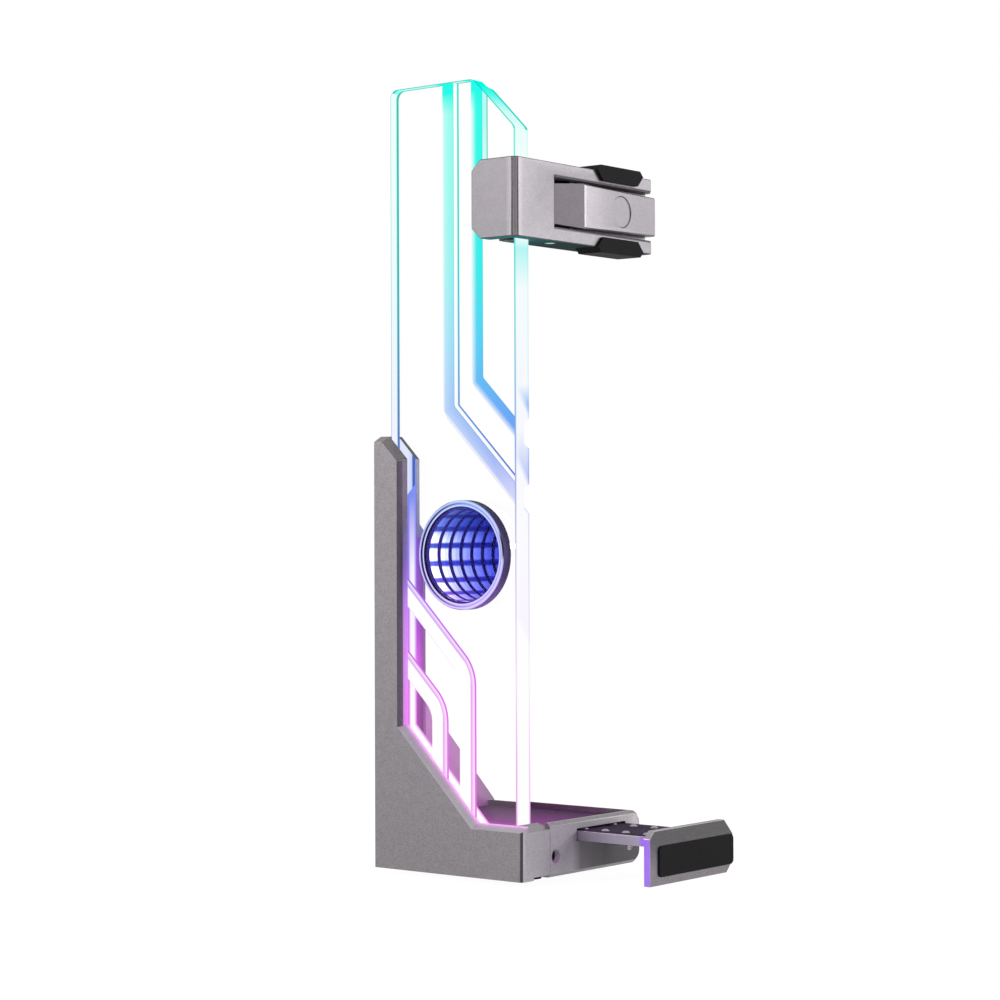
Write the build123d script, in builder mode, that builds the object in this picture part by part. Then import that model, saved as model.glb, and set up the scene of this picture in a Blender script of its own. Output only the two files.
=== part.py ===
"""Graphics card support bracket with a lit acrylic plate, a height-set arm and a slide-out foot.

Frame: the origin is the bottom centre of the bracket's bounding box as it stands, with Z up. The
arm reaches along +X and the foot slides out along -Y. The sizes below are counted from the near
outer corner of the housing, where the three construction planes meet. Millimetres.
"""
import os
from math import sqrt

from build123d import *

os.makedirs("parts", exist_ok=True)

# Fits and clearances
seat_gap = 0.1
slide_gap = 0.15
bore_gap = 0.05

# Base: housing on the left, open tray on the right
under = 1.8
base_depth = 48.0
housing_width = 11.3
tray_width = 39.0
shoulder_height = 12.1
rim_rise = 1.4
tray_height = 13.6
slant_foot = 16.2
shell_wall = 2.7
end_wall = 3.9
housing_floor = 2.2
relief_height = 0.75
relief_x = 4.7
relief_depth = 6.0
near_corner_radius = 1.3

# Column at the far end of the housing
column_height = 109.4
column_depth = 7.6
column_flat = 2.5
far_wall = 1.2
pocket_top = 97.0
cover_thickness = 1.3
channel_width = 2.5
channel_wall = 1.0
channel_top = 86.0

# Tray
tray_wall = 1.6
tray_floor = 1.2
tray_round = 3.4
gusset_inset = 0.8
tray_edge_bevel = 0.8
flange_height = 7.0
flange_thickness = 1.2
front_hole_radius = 1.65
front_hole_height = 5.2
front_hole_inset = 2.3
front_hole_spacing = 31.6
deck_height = 11.3
deck_thickness = 0.8

# Light plate
plate_thickness = 5.8
strip_space = 3.55
plate_round = 2.2
plate_top = 200.0
plate_bottom = 5.0
plate_chamfer = 13.2
groove_width = 5.3
groove_depth = 2.0
groove_draft = 22.0
upper_round = 3.0
lower_round = 8.5
upper_long_inset = 17.45
upper_long_height = 117.3
upper_short_inset = 26.85
upper_short_height = 124.2
lower_long_inset = 22.55
lower_long_height = 50.7
lower_short_inset = 13.45
lower_short_height = 41.2

# Ring module in the plate
ring_y = 19.1
ring_height = 80.4
bezel_radius = 13.75
bezel_lip = 3.1
bezel_bevel = 0.3
tube_radius = 12.9
tube_wall = 0.7
tube_recess = 0.35
lens_thickness = 0.6
lens_recess = 0.7
cavity_depth = 2.2
band_thickness = 0.45
mirror_thickness = 0.8
cap_dish_rim = 2.0
cap_dish_depth = 0.4

# Light strips
board_thickness = 0.75
board_width = 5.4
lamp_size = 3.4
lamp_height = 0.8
lamp_pitch = 11.0
diffuser_thickness = 0.5

# Arm
arm_start = -1.6
arm_end = 57.3
arm_near = 0.15
arm_depth = 13.95
arm_bottom = 159.0
arm_height = 19.7
arm_far_chamfer = 2.7
arm_corner_chamfer = 1.1
arm_edge_chamfer = 0.5
arm_near_wall = 3.0
liner_thickness = 0.75
lever_start = 15.3
lever_knee = 26.5
lever_height = 11.4
lever_end_height = 10.2
lever_knuckle_height = 9.8
lever_edge_chamfer = 0.35
lever_proud = 0.3
lever_thickness = 2.6
lever_over = 0.25
recess_gap = 0.5
recess_bevel = 0.45
recess_side = 0.55
facet_depth = 3.1
web_run = 2.2
thumb_inset = 14.6
thumb_radius = 4.2
thumb_depth = 0.3
thumb_slope = 45.0
pin_radius = 1.25
pin_length = 19.0
pin_bevel = 0.2
pin_x = 18.2
pin_y = 4.6
lobe_radius = 2.95
shoe_radius = 1.4
shoe_y = 6.7
pad_start = 31.5
pad_length = 20.0
pad_depth = 6.4
pad_thickness = 1.4
pad_proud = 0.9
pad_drop = 2.6
pad_bevel = 2.4

# Slide-out foot
foot_reach = 22.4
foot_tail = 24.0
foot_x = 22.6
foot_width = 20.7
foot_bottom = 8.2
foot_thickness = 2.5
hook_width = 37.0
hook_thickness = 1.9
hook_top = 12.0
hook_clear = 0.1
hook_corner_top = 3.9
hook_corner_low = 2.9
bump_radius = 0.95
bump_height = 0.35
bump_taper = 35.0
bump_pitch = 6.4
bump_rows = 5
bump_start = -5.7
bump_sides = 12
bump_spread = 12.3
foot_pad_start = 3.4
foot_pad_low = 0.35
foot_pad_high = 8.1
foot_pad_thickness = 0.5
foot_pad_round = 1.2
foot_pad_bevel = 0.2
foot_pad_inset = 0.2
rail_ledge = 2.0
rail_wall = 1.5
rail_start = 7.5
spring_thickness = 0.4
spring_width = 8.0
spring_span = 12.0
spring_inset = 2.0

# Rubber feet and screws
round_sides = 24
rubber_radius = 3.5
rubber_inset_x = 3.4
rubber_inset_y = 9.0
screw_radius = 1.0
screw_head_radius = 1.9
screw_head_height = 1.0
screw_cone = 45.0
drive_radius = 0.75
drive_depth = 0.5
cover_screw_inset = 1.8
cover_screw_rise = 5.0
cover_screw_grip = 3.6
tray_screw_depths = (10.0, 36.0)
tray_screw_height = 4.4
tray_screw_grip = 2.2
gusset_screw_heights = (22.0, 44.0)
deck_screw_radius = 0.5
deck_screw_grip = 3.5
deck_screw_head_radius = 1.0
deck_screw_head_height = 0.4
grommet_x = 16.6
grommet_height = 5.2
grommet_radius = 2.1
grommet_lip = 0.9
grommet_bore = 1.3


# Construction planes through the near outer corner of the housing
corner_x = -(arm_start + foot_x + hook_width) / 2
corner_y = (foot_reach + foot_pad_thickness - base_depth - grommet_lip) / 2
corner = (corner_x, corner_y, 0)
ground = Plane(origin=corner)
front = Plane(origin=corner, x_dir=(1, 0, 0), z_dir=(0, -1, 0))
side = Plane(origin=corner, x_dir=(0, 1, 0), z_dir=(1, 0, 0))


def facing_x(x, y, z):
    """Plane across X at a place counted from the corner, as (y, z)."""
    return Plane(origin=(corner_x + x, corner_y + y, z), x_dir=(0, 1, 0), z_dir=(1, 0, 0))


def facing_back(x, y, z):
    """Plane that looks along +Y at a place counted from the corner, as (-x, z)."""
    return Plane(origin=(corner_x + x, corner_y + y, z), x_dir=(-1, 0, 0), z_dir=(0, 1, 0))


# Places worked out from the sizes
base_top = under + tray_height
shoulder = under + shoulder_height
plate_x = shell_wall + seat_gap
plate_back = plate_x + plate_thickness
plate_near = end_wall + seat_gap + 0.05
plate_far = base_depth - strip_space
plate_width = plate_far - plate_near
cover_x = plate_back + seat_gap
channel_out = cover_x + channel_width + channel_wall
tray_x = housing_width + seat_gap
base_width = tray_x + tray_width
deck_x = tray_x + seat_gap
deck_far_x = base_width - tray_round - seat_gap
column_near = base_depth - column_depth
cover_far = base_depth - tray_wall - seat_gap
arm_z = under + arm_bottom
arm_top = arm_z + arm_height
arm_middle = arm_z + arm_height / 2
arm_far = arm_near + arm_depth
recess_x = pin_x - lobe_radius - recess_side
recess_height = lever_height + 2 * recess_gap
foot_z = under + foot_bottom
foot_top = foot_z + foot_thickness
foot_middle = foot_x + foot_width / 2
deck_z = under + deck_height
floor_z = under + tray_floor
ring_z = under + ring_height
back_y = plate_far + seat_gap
cover_screw_y = back_y + cover_screw_inset
cover_screw_z = under + pocket_top + cover_screw_rise
tray_screw_places = [(y, under + tray_screw_height) for y in tray_screw_depths]
gusset_screw_x = cover_x + screw_head_radius + 2 * seat_gap
gusset_screw_places = [(gusset_screw_x, under + height) for height in gusset_screw_heights]
grommet_z = under + grommet_height


def housing_outline(grow):
    """Side outline of the housing as (y, z); grow moves its open edges outward."""
    top = under + column_height + grow
    near = column_near - grow
    ledge = shoulder + grow
    low_slant = shoulder - slant_foot + grow * sqrt(2)
    top_slant = under + column_height - (base_depth - column_flat) + grow * sqrt(2)
    return [
        (0, under),
        (base_depth, under),
        (base_depth, top),
        (top - top_slant, top),
        (near, near + top_slant),
        (near, near + low_slant),
        (ledge - low_slant, ledge),
        (0, ledge),
    ]


def column_outline(low):
    """The column's part of the inner outline, from the height low upward, as (y, z)."""
    corners = housing_outline(rim_rise)
    return [(corners[4][0], low), (base_depth, low)] + corners[2:5]


# Housing: side wall with a bevelled rim, end wall, floor, inner wall and the column's back
with BuildPart() as left_shell:
    with BuildSketch(side):
        with BuildLine():
            Polyline(*housing_outline(0), close=True)
        make_face()
    with BuildSketch(side.offset(shell_wall)):
        with BuildLine():
            Polyline(*housing_outline(rim_rise), close=True)
        make_face()
    loft(ruled=True)
    # End wall with its rim sloping the same way
    with BuildSketch(side):
        with BuildLine():
            Polyline(
                (0, under), (end_wall, under), (end_wall, shoulder + rim_rise), (0, shoulder), close=True
            )
        make_face()
    extrude(amount=housing_width)
    with BuildSketch(front):
        with BuildLine():
            Polyline(
                (-shell_wall, shoulder - rim_rise),
                (shell_wall, shoulder + rim_rise),
                (-shell_wall, shoulder + 2 * rim_rise),
                close=True,
            )
        make_face()
    extrude(amount=-end_wall, mode=Mode.SUBTRACT)
    # Floor and inner wall beside the tray
    with BuildSketch(ground.offset(under)):
        Rectangle(housing_width, cover_far, align=(Align.MIN, Align.MIN))
    extrude(amount=housing_floor)
    with BuildSketch(ground.offset(under)):
        with Locations((cover_x, 0)):
            Rectangle(housing_width - cover_x, cover_far, align=(Align.MIN, Align.MIN))
    extrude(amount=deck_height + deck_thickness)
    # Back of the column, with the pocket for the light strip
    with BuildSketch(side.offset(shell_wall)):
        with BuildLine():
            corners = housing_outline(rim_rise)
            Polyline((back_y, under), (base_depth, under), corners[2], (back_y, corners[2][1]), close=True)
        make_face()
    extrude(amount=plate_back - shell_wall)
    with BuildSketch(ground.offset(under + housing_floor)):
        with Locations((shell_wall, back_y)):
            Rectangle(
                plate_back - shell_wall + seat_gap,
                base_depth - far_wall - back_y,
                align=(Align.MIN, Align.MIN),
            )
    extrude(amount=pocket_top - housing_floor, mode=Mode.SUBTRACT)
    # Finger relief under the near end and the rounded near corner
    with BuildSketch(ground.offset(under)):
        with Locations((relief_x, 0)):
            Rectangle(housing_width - relief_x, relief_depth, align=(Align.MIN, Align.MIN))
    extrude(amount=relief_height, mode=Mode.SUBTRACT)
    near_uprights = left_shell.edges().filter_by(Axis.Z).group_by(Axis.Y)[0]
    fillet(near_uprights.sort_by(Axis.X)[0], radius=near_corner_radius)
    # Threads for the screws of the column cover and the tray
    with Locations(side.offset(plate_back)):
        with Locations((cover_screw_y, cover_screw_z)):
            Hole(radius=screw_radius + bore_gap, depth=cover_screw_grip)
    with Locations(side.offset(housing_width)):
        with Locations(*tray_screw_places):
            Hole(radius=screw_radius + bore_gap, depth=tray_screw_grip)
left_shell.part.label = "left_shell"
export_step(left_shell.part, "parts/left_shell.step")


# Column cover: thin above, stepped out below round the wiring channel
with BuildPart() as right_shell:
    with BuildSketch(side.offset(cover_x)):
        with BuildLine():
            Polyline(*column_outline(under + channel_top), close=True)
        make_face()
    extrude(amount=cover_thickness)
    cover_low = deck_z + deck_thickness
    cover_near = column_near - rim_rise
    with BuildSketch(ground.offset(cover_low)):
        with Locations((cover_x + channel_width, cover_near)):
            Rectangle(channel_wall, cover_far - cover_near, align=(Align.MIN, Align.MIN))
        with Locations((cover_x, cover_far)):
            Rectangle(channel_width + channel_wall, tray_wall, align=(Align.MIN, Align.MAX))
    extrude(amount=under + channel_top - cover_low)
    with BuildSketch(front.offset(-cover_near)):
        with BuildLine():
            roof = under + channel_top
            Polyline(
                (cover_x, roof - cover_thickness),
                (channel_out, roof - cover_thickness),
                (channel_out, roof),
                (cover_x + cover_thickness, roof + channel_out - cover_x - cover_thickness),
                (cover_x, roof + channel_out - cover_x - cover_thickness),
                close=True,
            )
        make_face()
    extrude(amount=-(cover_far - cover_near))
    with Locations(side.offset(cover_x + cover_thickness)):
        with Locations((cover_screw_y, cover_screw_z)):
            CounterSinkHole(
                radius=screw_radius + bore_gap,
                counter_sink_radius=screw_head_radius,
                depth=cover_thickness,
            )
    with Locations(facing_back(0, cover_far, 0)):
        with Locations(*[(-x, z) for x, z in gusset_screw_places]):
            Hole(radius=screw_radius + bore_gap, depth=tray_wall)
right_shell.part.label = "right_shell"
export_step(right_shell.part, "parts/right_shell.step")


# Tray: floor, rounded right side, slotted front and a gusset up the back
with BuildPart() as base_tray:
    with BuildSketch(front):
        with BuildLine():
            FilletPolyline(
                (tray_x, under),
                (base_width, under),
                (base_width, base_top),
                (tray_x, base_top),
                radius=tray_round,
            )
            Line((tray_x, base_top), (tray_x, under))
        make_face()
    extrude(amount=-base_depth)
    front_top = base_tray.edges().filter_by(Axis.X).group_by(Axis.Y)[0].sort_by(Axis.Z)[-1]
    chamfer(front_top, length=tray_edge_bevel)
    inner_round = tray_round - tray_wall
    with BuildSketch(front.offset(-tray_wall)):
        with BuildLine():
            FilletPolyline(
                (tray_x - 1, floor_z),
                (base_width - tray_wall, floor_z),
                (base_width - tray_wall, base_top - tray_wall),
                (tray_x - 1, base_top - tray_wall),
                radius=inner_round,
            )
            Line((tray_x - 1, base_top - tray_wall), (tray_x - 1, floor_z))
        make_face()
        with Locations((tray_x - 1, base_top - 2 * tray_wall)):
            Rectangle(deck_far_x + seat_gap - tray_x + 1, 3 * tray_wall, align=(Align.MIN, Align.MIN))
    extrude(amount=-(base_depth - 2 * tray_wall), mode=Mode.SUBTRACT)
    # Gusset that rises from the back wall to the column
    with BuildSketch(front.offset(-base_depth)):
        with BuildLine():
            gusset_end = base_width - gusset_inset
            Polyline(
                (cover_x, base_top - tray_wall),
                (gusset_end, base_top - tray_wall),
                (gusset_end, base_top),
                (cover_x, base_top + gusset_end - cover_x),
                close=True,
            )
        make_face()
    extrude(amount=tray_wall)
    # Flange beside the housing
    with BuildSketch(ground.offset(under)):
        with Locations((tray_x, rail_start)):
            Rectangle(flange_thickness, base_depth - tray_wall - rail_start, align=(Align.MIN, Align.MIN))
    extrude(amount=flange_height)
    # Slot for the foot and the two holes in the front wall
    with BuildSketch(front):
        with Locations((foot_middle, foot_z - slide_gap)):
            Rectangle(
                foot_width + 2 * slide_gap,
                foot_thickness + bump_height + 2 * slide_gap,
                align=(Align.CENTER, Align.MIN),
            )
        with Locations(
            (tray_x + front_hole_inset, under + front_hole_height),
            (tray_x + front_hole_inset + front_hole_spacing, under + front_hole_height),
        ):
            Circle(front_hole_radius)
    extrude(amount=-tray_wall, mode=Mode.SUBTRACT)
    with Locations(side.offset(tray_x + flange_thickness)):
        with Locations(*tray_screw_places):
            Hole(radius=screw_radius + bore_gap, depth=flange_thickness)
    # Countersunk holes that fix the gusset to the column cover, and the cable hole
    with Locations(facing_back(0, base_depth, 0)):
        with Locations(*[(-x, z) for x, z in gusset_screw_places]):
            CounterSinkHole(
                radius=screw_radius + bore_gap,
                counter_sink_radius=screw_head_radius,
                depth=tray_wall,
            )
        with Locations((-grommet_x, grommet_z)):
            Hole(radius=grommet_radius + bore_gap, depth=tray_wall)
base_tray.part.label = "base_tray"
export_step(base_tray.part, "parts/base_tray.step")


# Recessed deck over the slide, held by two screws
rail_x = foot_x - slide_gap - rail_wall
rail_far_x = foot_x + foot_width + slide_gap + rail_wall
deck_screw_places = [(rail_x + rail_wall / 2, base_depth / 2), (rail_far_x - rail_wall / 2, base_depth / 2)]
with BuildPart() as deck_cover:
    with BuildSketch(ground.offset(deck_z)):
        with Locations((deck_x, tray_wall + seat_gap)):
            Rectangle(deck_far_x - deck_x, cover_far - tray_wall - seat_gap, align=(Align.MIN, Align.MIN))
    extrude(amount=deck_thickness)
    with Locations(ground.offset(deck_z + deck_thickness)):
        with Locations(*deck_screw_places):
            CounterBoreHole(
                radius=deck_screw_radius + bore_gap,
                counter_bore_radius=deck_screw_head_radius + bore_gap,
                counter_bore_depth=deck_screw_head_height + seat_gap,
                depth=deck_thickness,
            )
deck_cover.part.label = "deck_cover"
export_step(deck_cover.part, "parts/deck_cover.step")


# Rails that carry the foot's plate, one on each side
def rail_outline(outer, toward):
    """L-shaped rail section as (x, z), from its outer side toward the plate."""
    wall = outer + toward * rail_wall
    ledge = wall + toward * (rail_ledge + slide_gap)
    return [
        (outer, floor_z),
        (ledge, floor_z),
        (ledge, foot_z - bore_gap),
        (wall, foot_z - bore_gap),
        (wall, deck_z),
        (outer, deck_z),
    ]


for hand, outer, toward in (("left", rail_x, 1), ("right", rail_far_x, -1)):
    with BuildPart() as slide_rail:
        with BuildSketch(front.offset(-rail_start)):
            with BuildLine():
                Polyline(*rail_outline(outer, toward), close=True)
            make_face()
        extrude(amount=-(cover_far - rail_start))
        with Locations(ground.offset(deck_z)):
            with Locations((outer + toward * rail_wall / 2, base_depth / 2)):
                Hole(radius=deck_screw_radius + bore_gap, depth=deck_screw_grip)
    slide_rail.part.label = f"slide_rail_{hand}"
    export_step(slide_rail.part, f"parts/slide_rail_{hand}.step")


# Bowed leaf spring under the foot's plate, which holds it by friction
with BuildPart() as slide_spring:
    spring_start = tray_wall + spring_inset
    spring_rise = foot_z - bore_gap - floor_z - spring_thickness
    with BuildSketch(side.offset(foot_middle - spring_width / 2)):
        with BuildLine():
            ThreePointArc(
                (spring_start, floor_z + spring_thickness / 2),
                (spring_start + spring_span / 2, floor_z + spring_thickness / 2 + spring_rise),
                (spring_start + spring_span, floor_z + spring_thickness / 2),
            )
            offset(amount=spring_thickness / 2, kind=Kind.INTERSECTION)
        make_face()
    extrude(amount=spring_width)
slide_spring.part.label = "slide_spring"
export_step(slide_spring.part, "parts/slide_spring.step")


# Light plate: clear acrylic with four engraved light channels in its back face
plate_low = under + plate_bottom
plate_high = under + plate_top
over = 6.0
slant_over = plate_near - over
# Each channel is a straight run up or down the plate and a 45 degree run to an edge, as (y, z)
upper_long = (plate_far - upper_long_inset, under + upper_long_height)
upper_short = (plate_far - upper_short_inset, under + upper_short_height)
lower_long = (plate_far - lower_long_inset, under + lower_long_height)
lower_short = (plate_far - lower_short_inset, under + lower_short_height)
upper_channels = [
    [(bend_y, plate_high + over), (bend_y, bend_z), (slant_over, bend_z - bend_y + slant_over)]
    for bend_y, bend_z in (upper_long, upper_short)
]
lower_channels = [
    [(plate_far + over, bend_z + plate_far + over - bend_y), (bend_y, bend_z), (bend_y, plate_low - over)]
    for bend_y, bend_z in (lower_long, lower_short)
]
channel_paths = [(points, upper_round) for points in upper_channels]
channel_paths += [(points, lower_round) for points in lower_channels]
with BuildPart() as light_plate:
    with BuildSketch(side.offset(plate_x)):
        with BuildLine():
            FilletPolyline(
                (plate_near, plate_low),
                (plate_far, plate_low),
                (plate_far, plate_high),
                (plate_near + plate_chamfer, plate_high),
                (plate_near, plate_high - plate_chamfer),
                radius=plate_round,
                close=True,
            )
        make_face()
        with Locations((ring_y, ring_z)):
            Circle(tube_radius + bore_gap, mode=Mode.SUBTRACT)
    extrude(amount=plate_thickness)
    for points, bend_round in channel_paths:
        with BuildSketch(side.offset(plate_back)):
            with BuildLine():
                FilletPolyline(*points, radius=bend_round)
            trace(line_width=groove_width)
        extrude(amount=-groove_depth, taper=groove_draft, mode=Mode.SUBTRACT)
light_plate.part.label = "light_plate"
export_step(light_plate.part, "parts/light_plate.step")


# Light strips: a board with its lamps, and a milky strip in front of them
board_middle = shell_wall + 2 * seat_gap + board_width / 2
lamp_rows = int((pocket_top - plate_bottom - 6.0) / lamp_pitch)
with BuildPart() as column_light_strip:
    board_y = base_depth - far_wall - seat_gap
    board_low = under + plate_bottom + 2.0
    with BuildSketch(front.offset(-board_y)):
        with Locations((shell_wall + 2 * seat_gap, board_low)):
            Rectangle(board_width, lamp_rows * lamp_pitch, align=(Align.MIN, Align.MIN))
    extrude(amount=board_thickness)
    with BuildSketch(front.offset(-board_y + board_thickness)):
        with Locations((board_middle, board_low + lamp_rows * lamp_pitch / 2)):
            with GridLocations(lamp_pitch, lamp_pitch, 1, lamp_rows):
                Rectangle(lamp_size, lamp_size)
    extrude(amount=lamp_height)
column_light_strip.part.label = "column_light_strip"
export_step(column_light_strip.part, "parts/column_light_strip.step")

with BuildPart() as column_diffuser:
    with BuildSketch(ground.offset(board_low)):
        with Locations((plate_x, plate_far + seat_gap)):
            Rectangle(plate_thickness, diffuser_thickness, align=(Align.MIN, Align.MIN))
    extrude(amount=lamp_rows * lamp_pitch)
column_diffuser.part.label = "column_diffuser"
export_step(column_diffuser.part, "parts/column_diffuser.step")

with BuildPart() as channel_diffuser:
    with BuildSketch(ground.offset(cover_low)):
        with Locations((cover_x, cover_far - tray_wall)):
            Rectangle(channel_width, diffuser_thickness, align=(Align.MIN, Align.MAX))
    extrude(amount=under + channel_top - cover_thickness - cover_low)
channel_diffuser.part.label = "channel_diffuser"
export_step(channel_diffuser.part, "parts/channel_diffuser.step")

base_lamps = int((plate_width - 6.0) / lamp_pitch)
with BuildPart() as base_light_strip:
    strip_z = under + housing_floor
    strip_y = plate_near + plate_width / 2
    with BuildSketch(ground.offset(strip_z)):
        with Locations((board_middle, strip_y)):
            Rectangle(board_width, plate_width - 2.0)
    extrude(amount=board_thickness)
    with BuildSketch(ground.offset(strip_z + board_thickness)):
        with Locations((board_middle, strip_y)):
            with GridLocations(lamp_pitch, lamp_pitch, 1, base_lamps):
                Rectangle(lamp_size, lamp_size)
    extrude(amount=lamp_height)
base_light_strip.part.label = "base_light_strip"
export_step(base_light_strip.part, "parts/base_light_strip.step")

with BuildPart() as base_diffuser:
    with BuildSketch(ground.offset(plate_low - seat_gap)):
        with Locations((plate_x, plate_near)):
            Rectangle(plate_thickness, plate_width, align=(Align.MIN, Align.MIN))
    extrude(amount=-diffuser_thickness)
base_diffuser.part.label = "base_diffuser"
export_step(base_diffuser.part, "parts/base_diffuser.step")


# Ring module along X: a collar round the tube, then half mirror, lamp band, rear mirror and cap

def ring_plane(x):
    """Plane across the ring module at x, centred on its axis."""
    return facing_x(x, ring_y, ring_z)


bezel_front = plate_x - bezel_lip
lens_front = bezel_front + lens_recess
lens_back = lens_front + lens_thickness
mirror_front = lens_back + cavity_depth
mirror_back = mirror_front + mirror_thickness
tube_bore = tube_radius - tube_wall
with BuildPart() as ring_bezel:
    with BuildSketch(ring_plane(bezel_front)):
        Circle(bezel_radius)
        Circle(tube_radius + bore_gap, mode=Mode.SUBTRACT)
    extrude(amount=bezel_lip)
    rim = ring_bezel.faces().sort_by(Axis.X)[0].edges().sort_by(SortBy.RADIUS)[-1]
    chamfer(rim, length=bezel_bevel)
ring_bezel.part.label = "ring_bezel"
export_step(ring_bezel.part, "parts/ring_bezel.step")

with BuildPart() as ring_tube:
    with BuildSketch(ring_plane(bezel_front + tube_recess)):
        Circle(tube_radius)
        Circle(tube_bore, mode=Mode.SUBTRACT)
    extrude(amount=plate_back - seat_gap - bezel_front - tube_recess)
ring_tube.part.label = "ring_tube"
export_step(ring_tube.part, "parts/ring_tube.step")

with BuildPart() as ring_half_mirror:
    with BuildSketch(ring_plane(lens_front)):
        Circle(tube_bore - bore_gap)
    extrude(amount=lens_thickness)
ring_half_mirror.part.label = "ring_half_mirror"
export_step(ring_half_mirror.part, "parts/ring_half_mirror.step")

with BuildPart() as ring_lamp_band:
    with BuildSketch(ring_plane(lens_back)):
        Circle(tube_bore - bore_gap)
        Circle(tube_bore - bore_gap - band_thickness, mode=Mode.SUBTRACT)
    extrude(amount=cavity_depth)
ring_lamp_band.part.label = "ring_lamp_band"
export_step(ring_lamp_band.part, "parts/ring_lamp_band.step")

with BuildPart() as ring_rear_mirror:
    with BuildSketch(ring_plane(mirror_front)):
        Circle(tube_bore - bore_gap)
    extrude(amount=mirror_thickness)
ring_rear_mirror.part.label = "ring_rear_mirror"
export_step(ring_rear_mirror.part, "parts/ring_rear_mirror.step")

with BuildPart() as ring_cap:
    with BuildSketch(ring_plane(mirror_back)):
        Circle(tube_bore - bore_gap)
    extrude(amount=plate_back - seat_gap - mirror_back)
    with BuildSketch(ring_plane(plate_back - seat_gap)):
        Circle(tube_bore - cap_dish_rim)
    extrude(amount=-cap_dish_depth, mode=Mode.SUBTRACT)
ring_cap.part.label = "ring_cap"
export_step(ring_cap.part, "parts/ring_cap.step")


# Arm: wraps the plate's near edge, with a recess for the lever in its near face
plate_slot_x = plate_x - liner_thickness - 2 * bore_gap
plate_slot_far_x = plate_back + liner_thickness + 2 * bore_gap
slot_near = plate_near - liner_thickness - 2 * bore_gap
pocket_far = shoe_y + shoe_radius + slide_gap
pocket_length = pin_x + lobe_radius + web_run + recess_side - recess_x
with BuildPart() as arm_body:
    with BuildSketch(side.offset(arm_start)):
        with BuildLine():
            Polyline(
                (arm_near, arm_z),
                (arm_far - arm_far_chamfer, arm_z),
                (arm_far, arm_z + arm_far_chamfer),
                (arm_far, arm_top - arm_far_chamfer),
                (arm_far - arm_far_chamfer, arm_top),
                (arm_near, arm_top),
                close=True,
            )
        make_face()
    extrude(amount=arm_end - arm_start)
    uprights = arm_body.edges().filter_by(Axis.Z).group_by(Axis.Y)[0]
    chamfer(uprights, length=arm_corner_chamfer)
    chamfer(arm_body.faces().sort_by(Axis.X)[-1].edges().filter_by(Axis.Y), length=arm_edge_chamfer)
    # Slot for the plate and its liner, open to the far side
    with BuildSketch(ground.offset(arm_z)):
        with Locations((plate_slot_x, slot_near)):
            Rectangle(plate_slot_far_x - plate_slot_x, arm_far, align=(Align.MIN, Align.MIN))
    extrude(amount=arm_height, mode=Mode.SUBTRACT)
    # Shallow recess along the lever and a deeper pocket round its knuckle
    with BuildSketch(front.offset(-arm_near)):
        with Locations((recess_x, arm_middle)):
            Rectangle(arm_end - recess_x, recess_height, align=(Align.MIN, Align.CENTER))
    extrude(amount=-(lever_thickness - lever_proud + lever_over), mode=Mode.SUBTRACT)
    with BuildSketch(ground.offset(arm_middle - recess_height / 2)):
        with Locations((recess_x, arm_near)):
            Rectangle(pocket_length, pocket_far - arm_near, align=(Align.MIN, Align.MIN))
    extrude(amount=recess_height, mode=Mode.SUBTRACT)
    near_y = corner_y + arm_near
    rim_reach = recess_height / 2 + bore_gap
    rim = arm_body.edges().filter_by_position(Axis.Y, near_y - bore_gap, near_y + bore_gap)
    rim = rim.filter_by_position(Axis.Z, arm_middle - rim_reach, arm_middle + rim_reach)
    rim = rim.filter_by_position(Axis.X, corner_x + recess_x - bore_gap, corner_x + arm_end)
    chamfer(rim, length=recess_bevel)
    # Bores for the lever's pin and for the clamp shoe
    with BuildSketch(ground.offset(arm_z)):
        with Locations((pin_x, pin_y)):
            Circle(pin_radius + bore_gap / 2)
    extrude(amount=pin_length + seat_gap, mode=Mode.SUBTRACT)
    with BuildSketch(side.offset(plate_slot_far_x)):
        with Locations((shoe_y, arm_middle)):
            Circle(shoe_radius + bore_gap)
    extrude(amount=recess_x - plate_slot_far_x, mode=Mode.SUBTRACT)
arm_body.part.label = "arm_body"
export_step(arm_body.part, "parts/arm_body.step")

# Nylon liner between the arm and the plate
with BuildPart() as arm_liner:
    with BuildSketch(ground.offset(arm_z + seat_gap)):
        with Locations((plate_slot_x + bore_gap, slot_near + bore_gap)):
            Rectangle(
                plate_slot_far_x - plate_slot_x - 2 * bore_gap,
                arm_far - arm_far_chamfer - slot_near,
                align=(Align.MIN, Align.MIN),
            )
        with Locations((plate_x - bore_gap, plate_near - bore_gap)):
            Rectangle(
                plate_thickness + 2 * bore_gap,
                arm_far,
                align=(Align.MIN, Align.MIN),
                mode=Mode.SUBTRACT,
            )
    extrude(amount=arm_height - 2 * seat_gap)
arm_liner.part.label = "arm_liner"
export_step(arm_liner.part, "parts/arm_liner.step")

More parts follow.
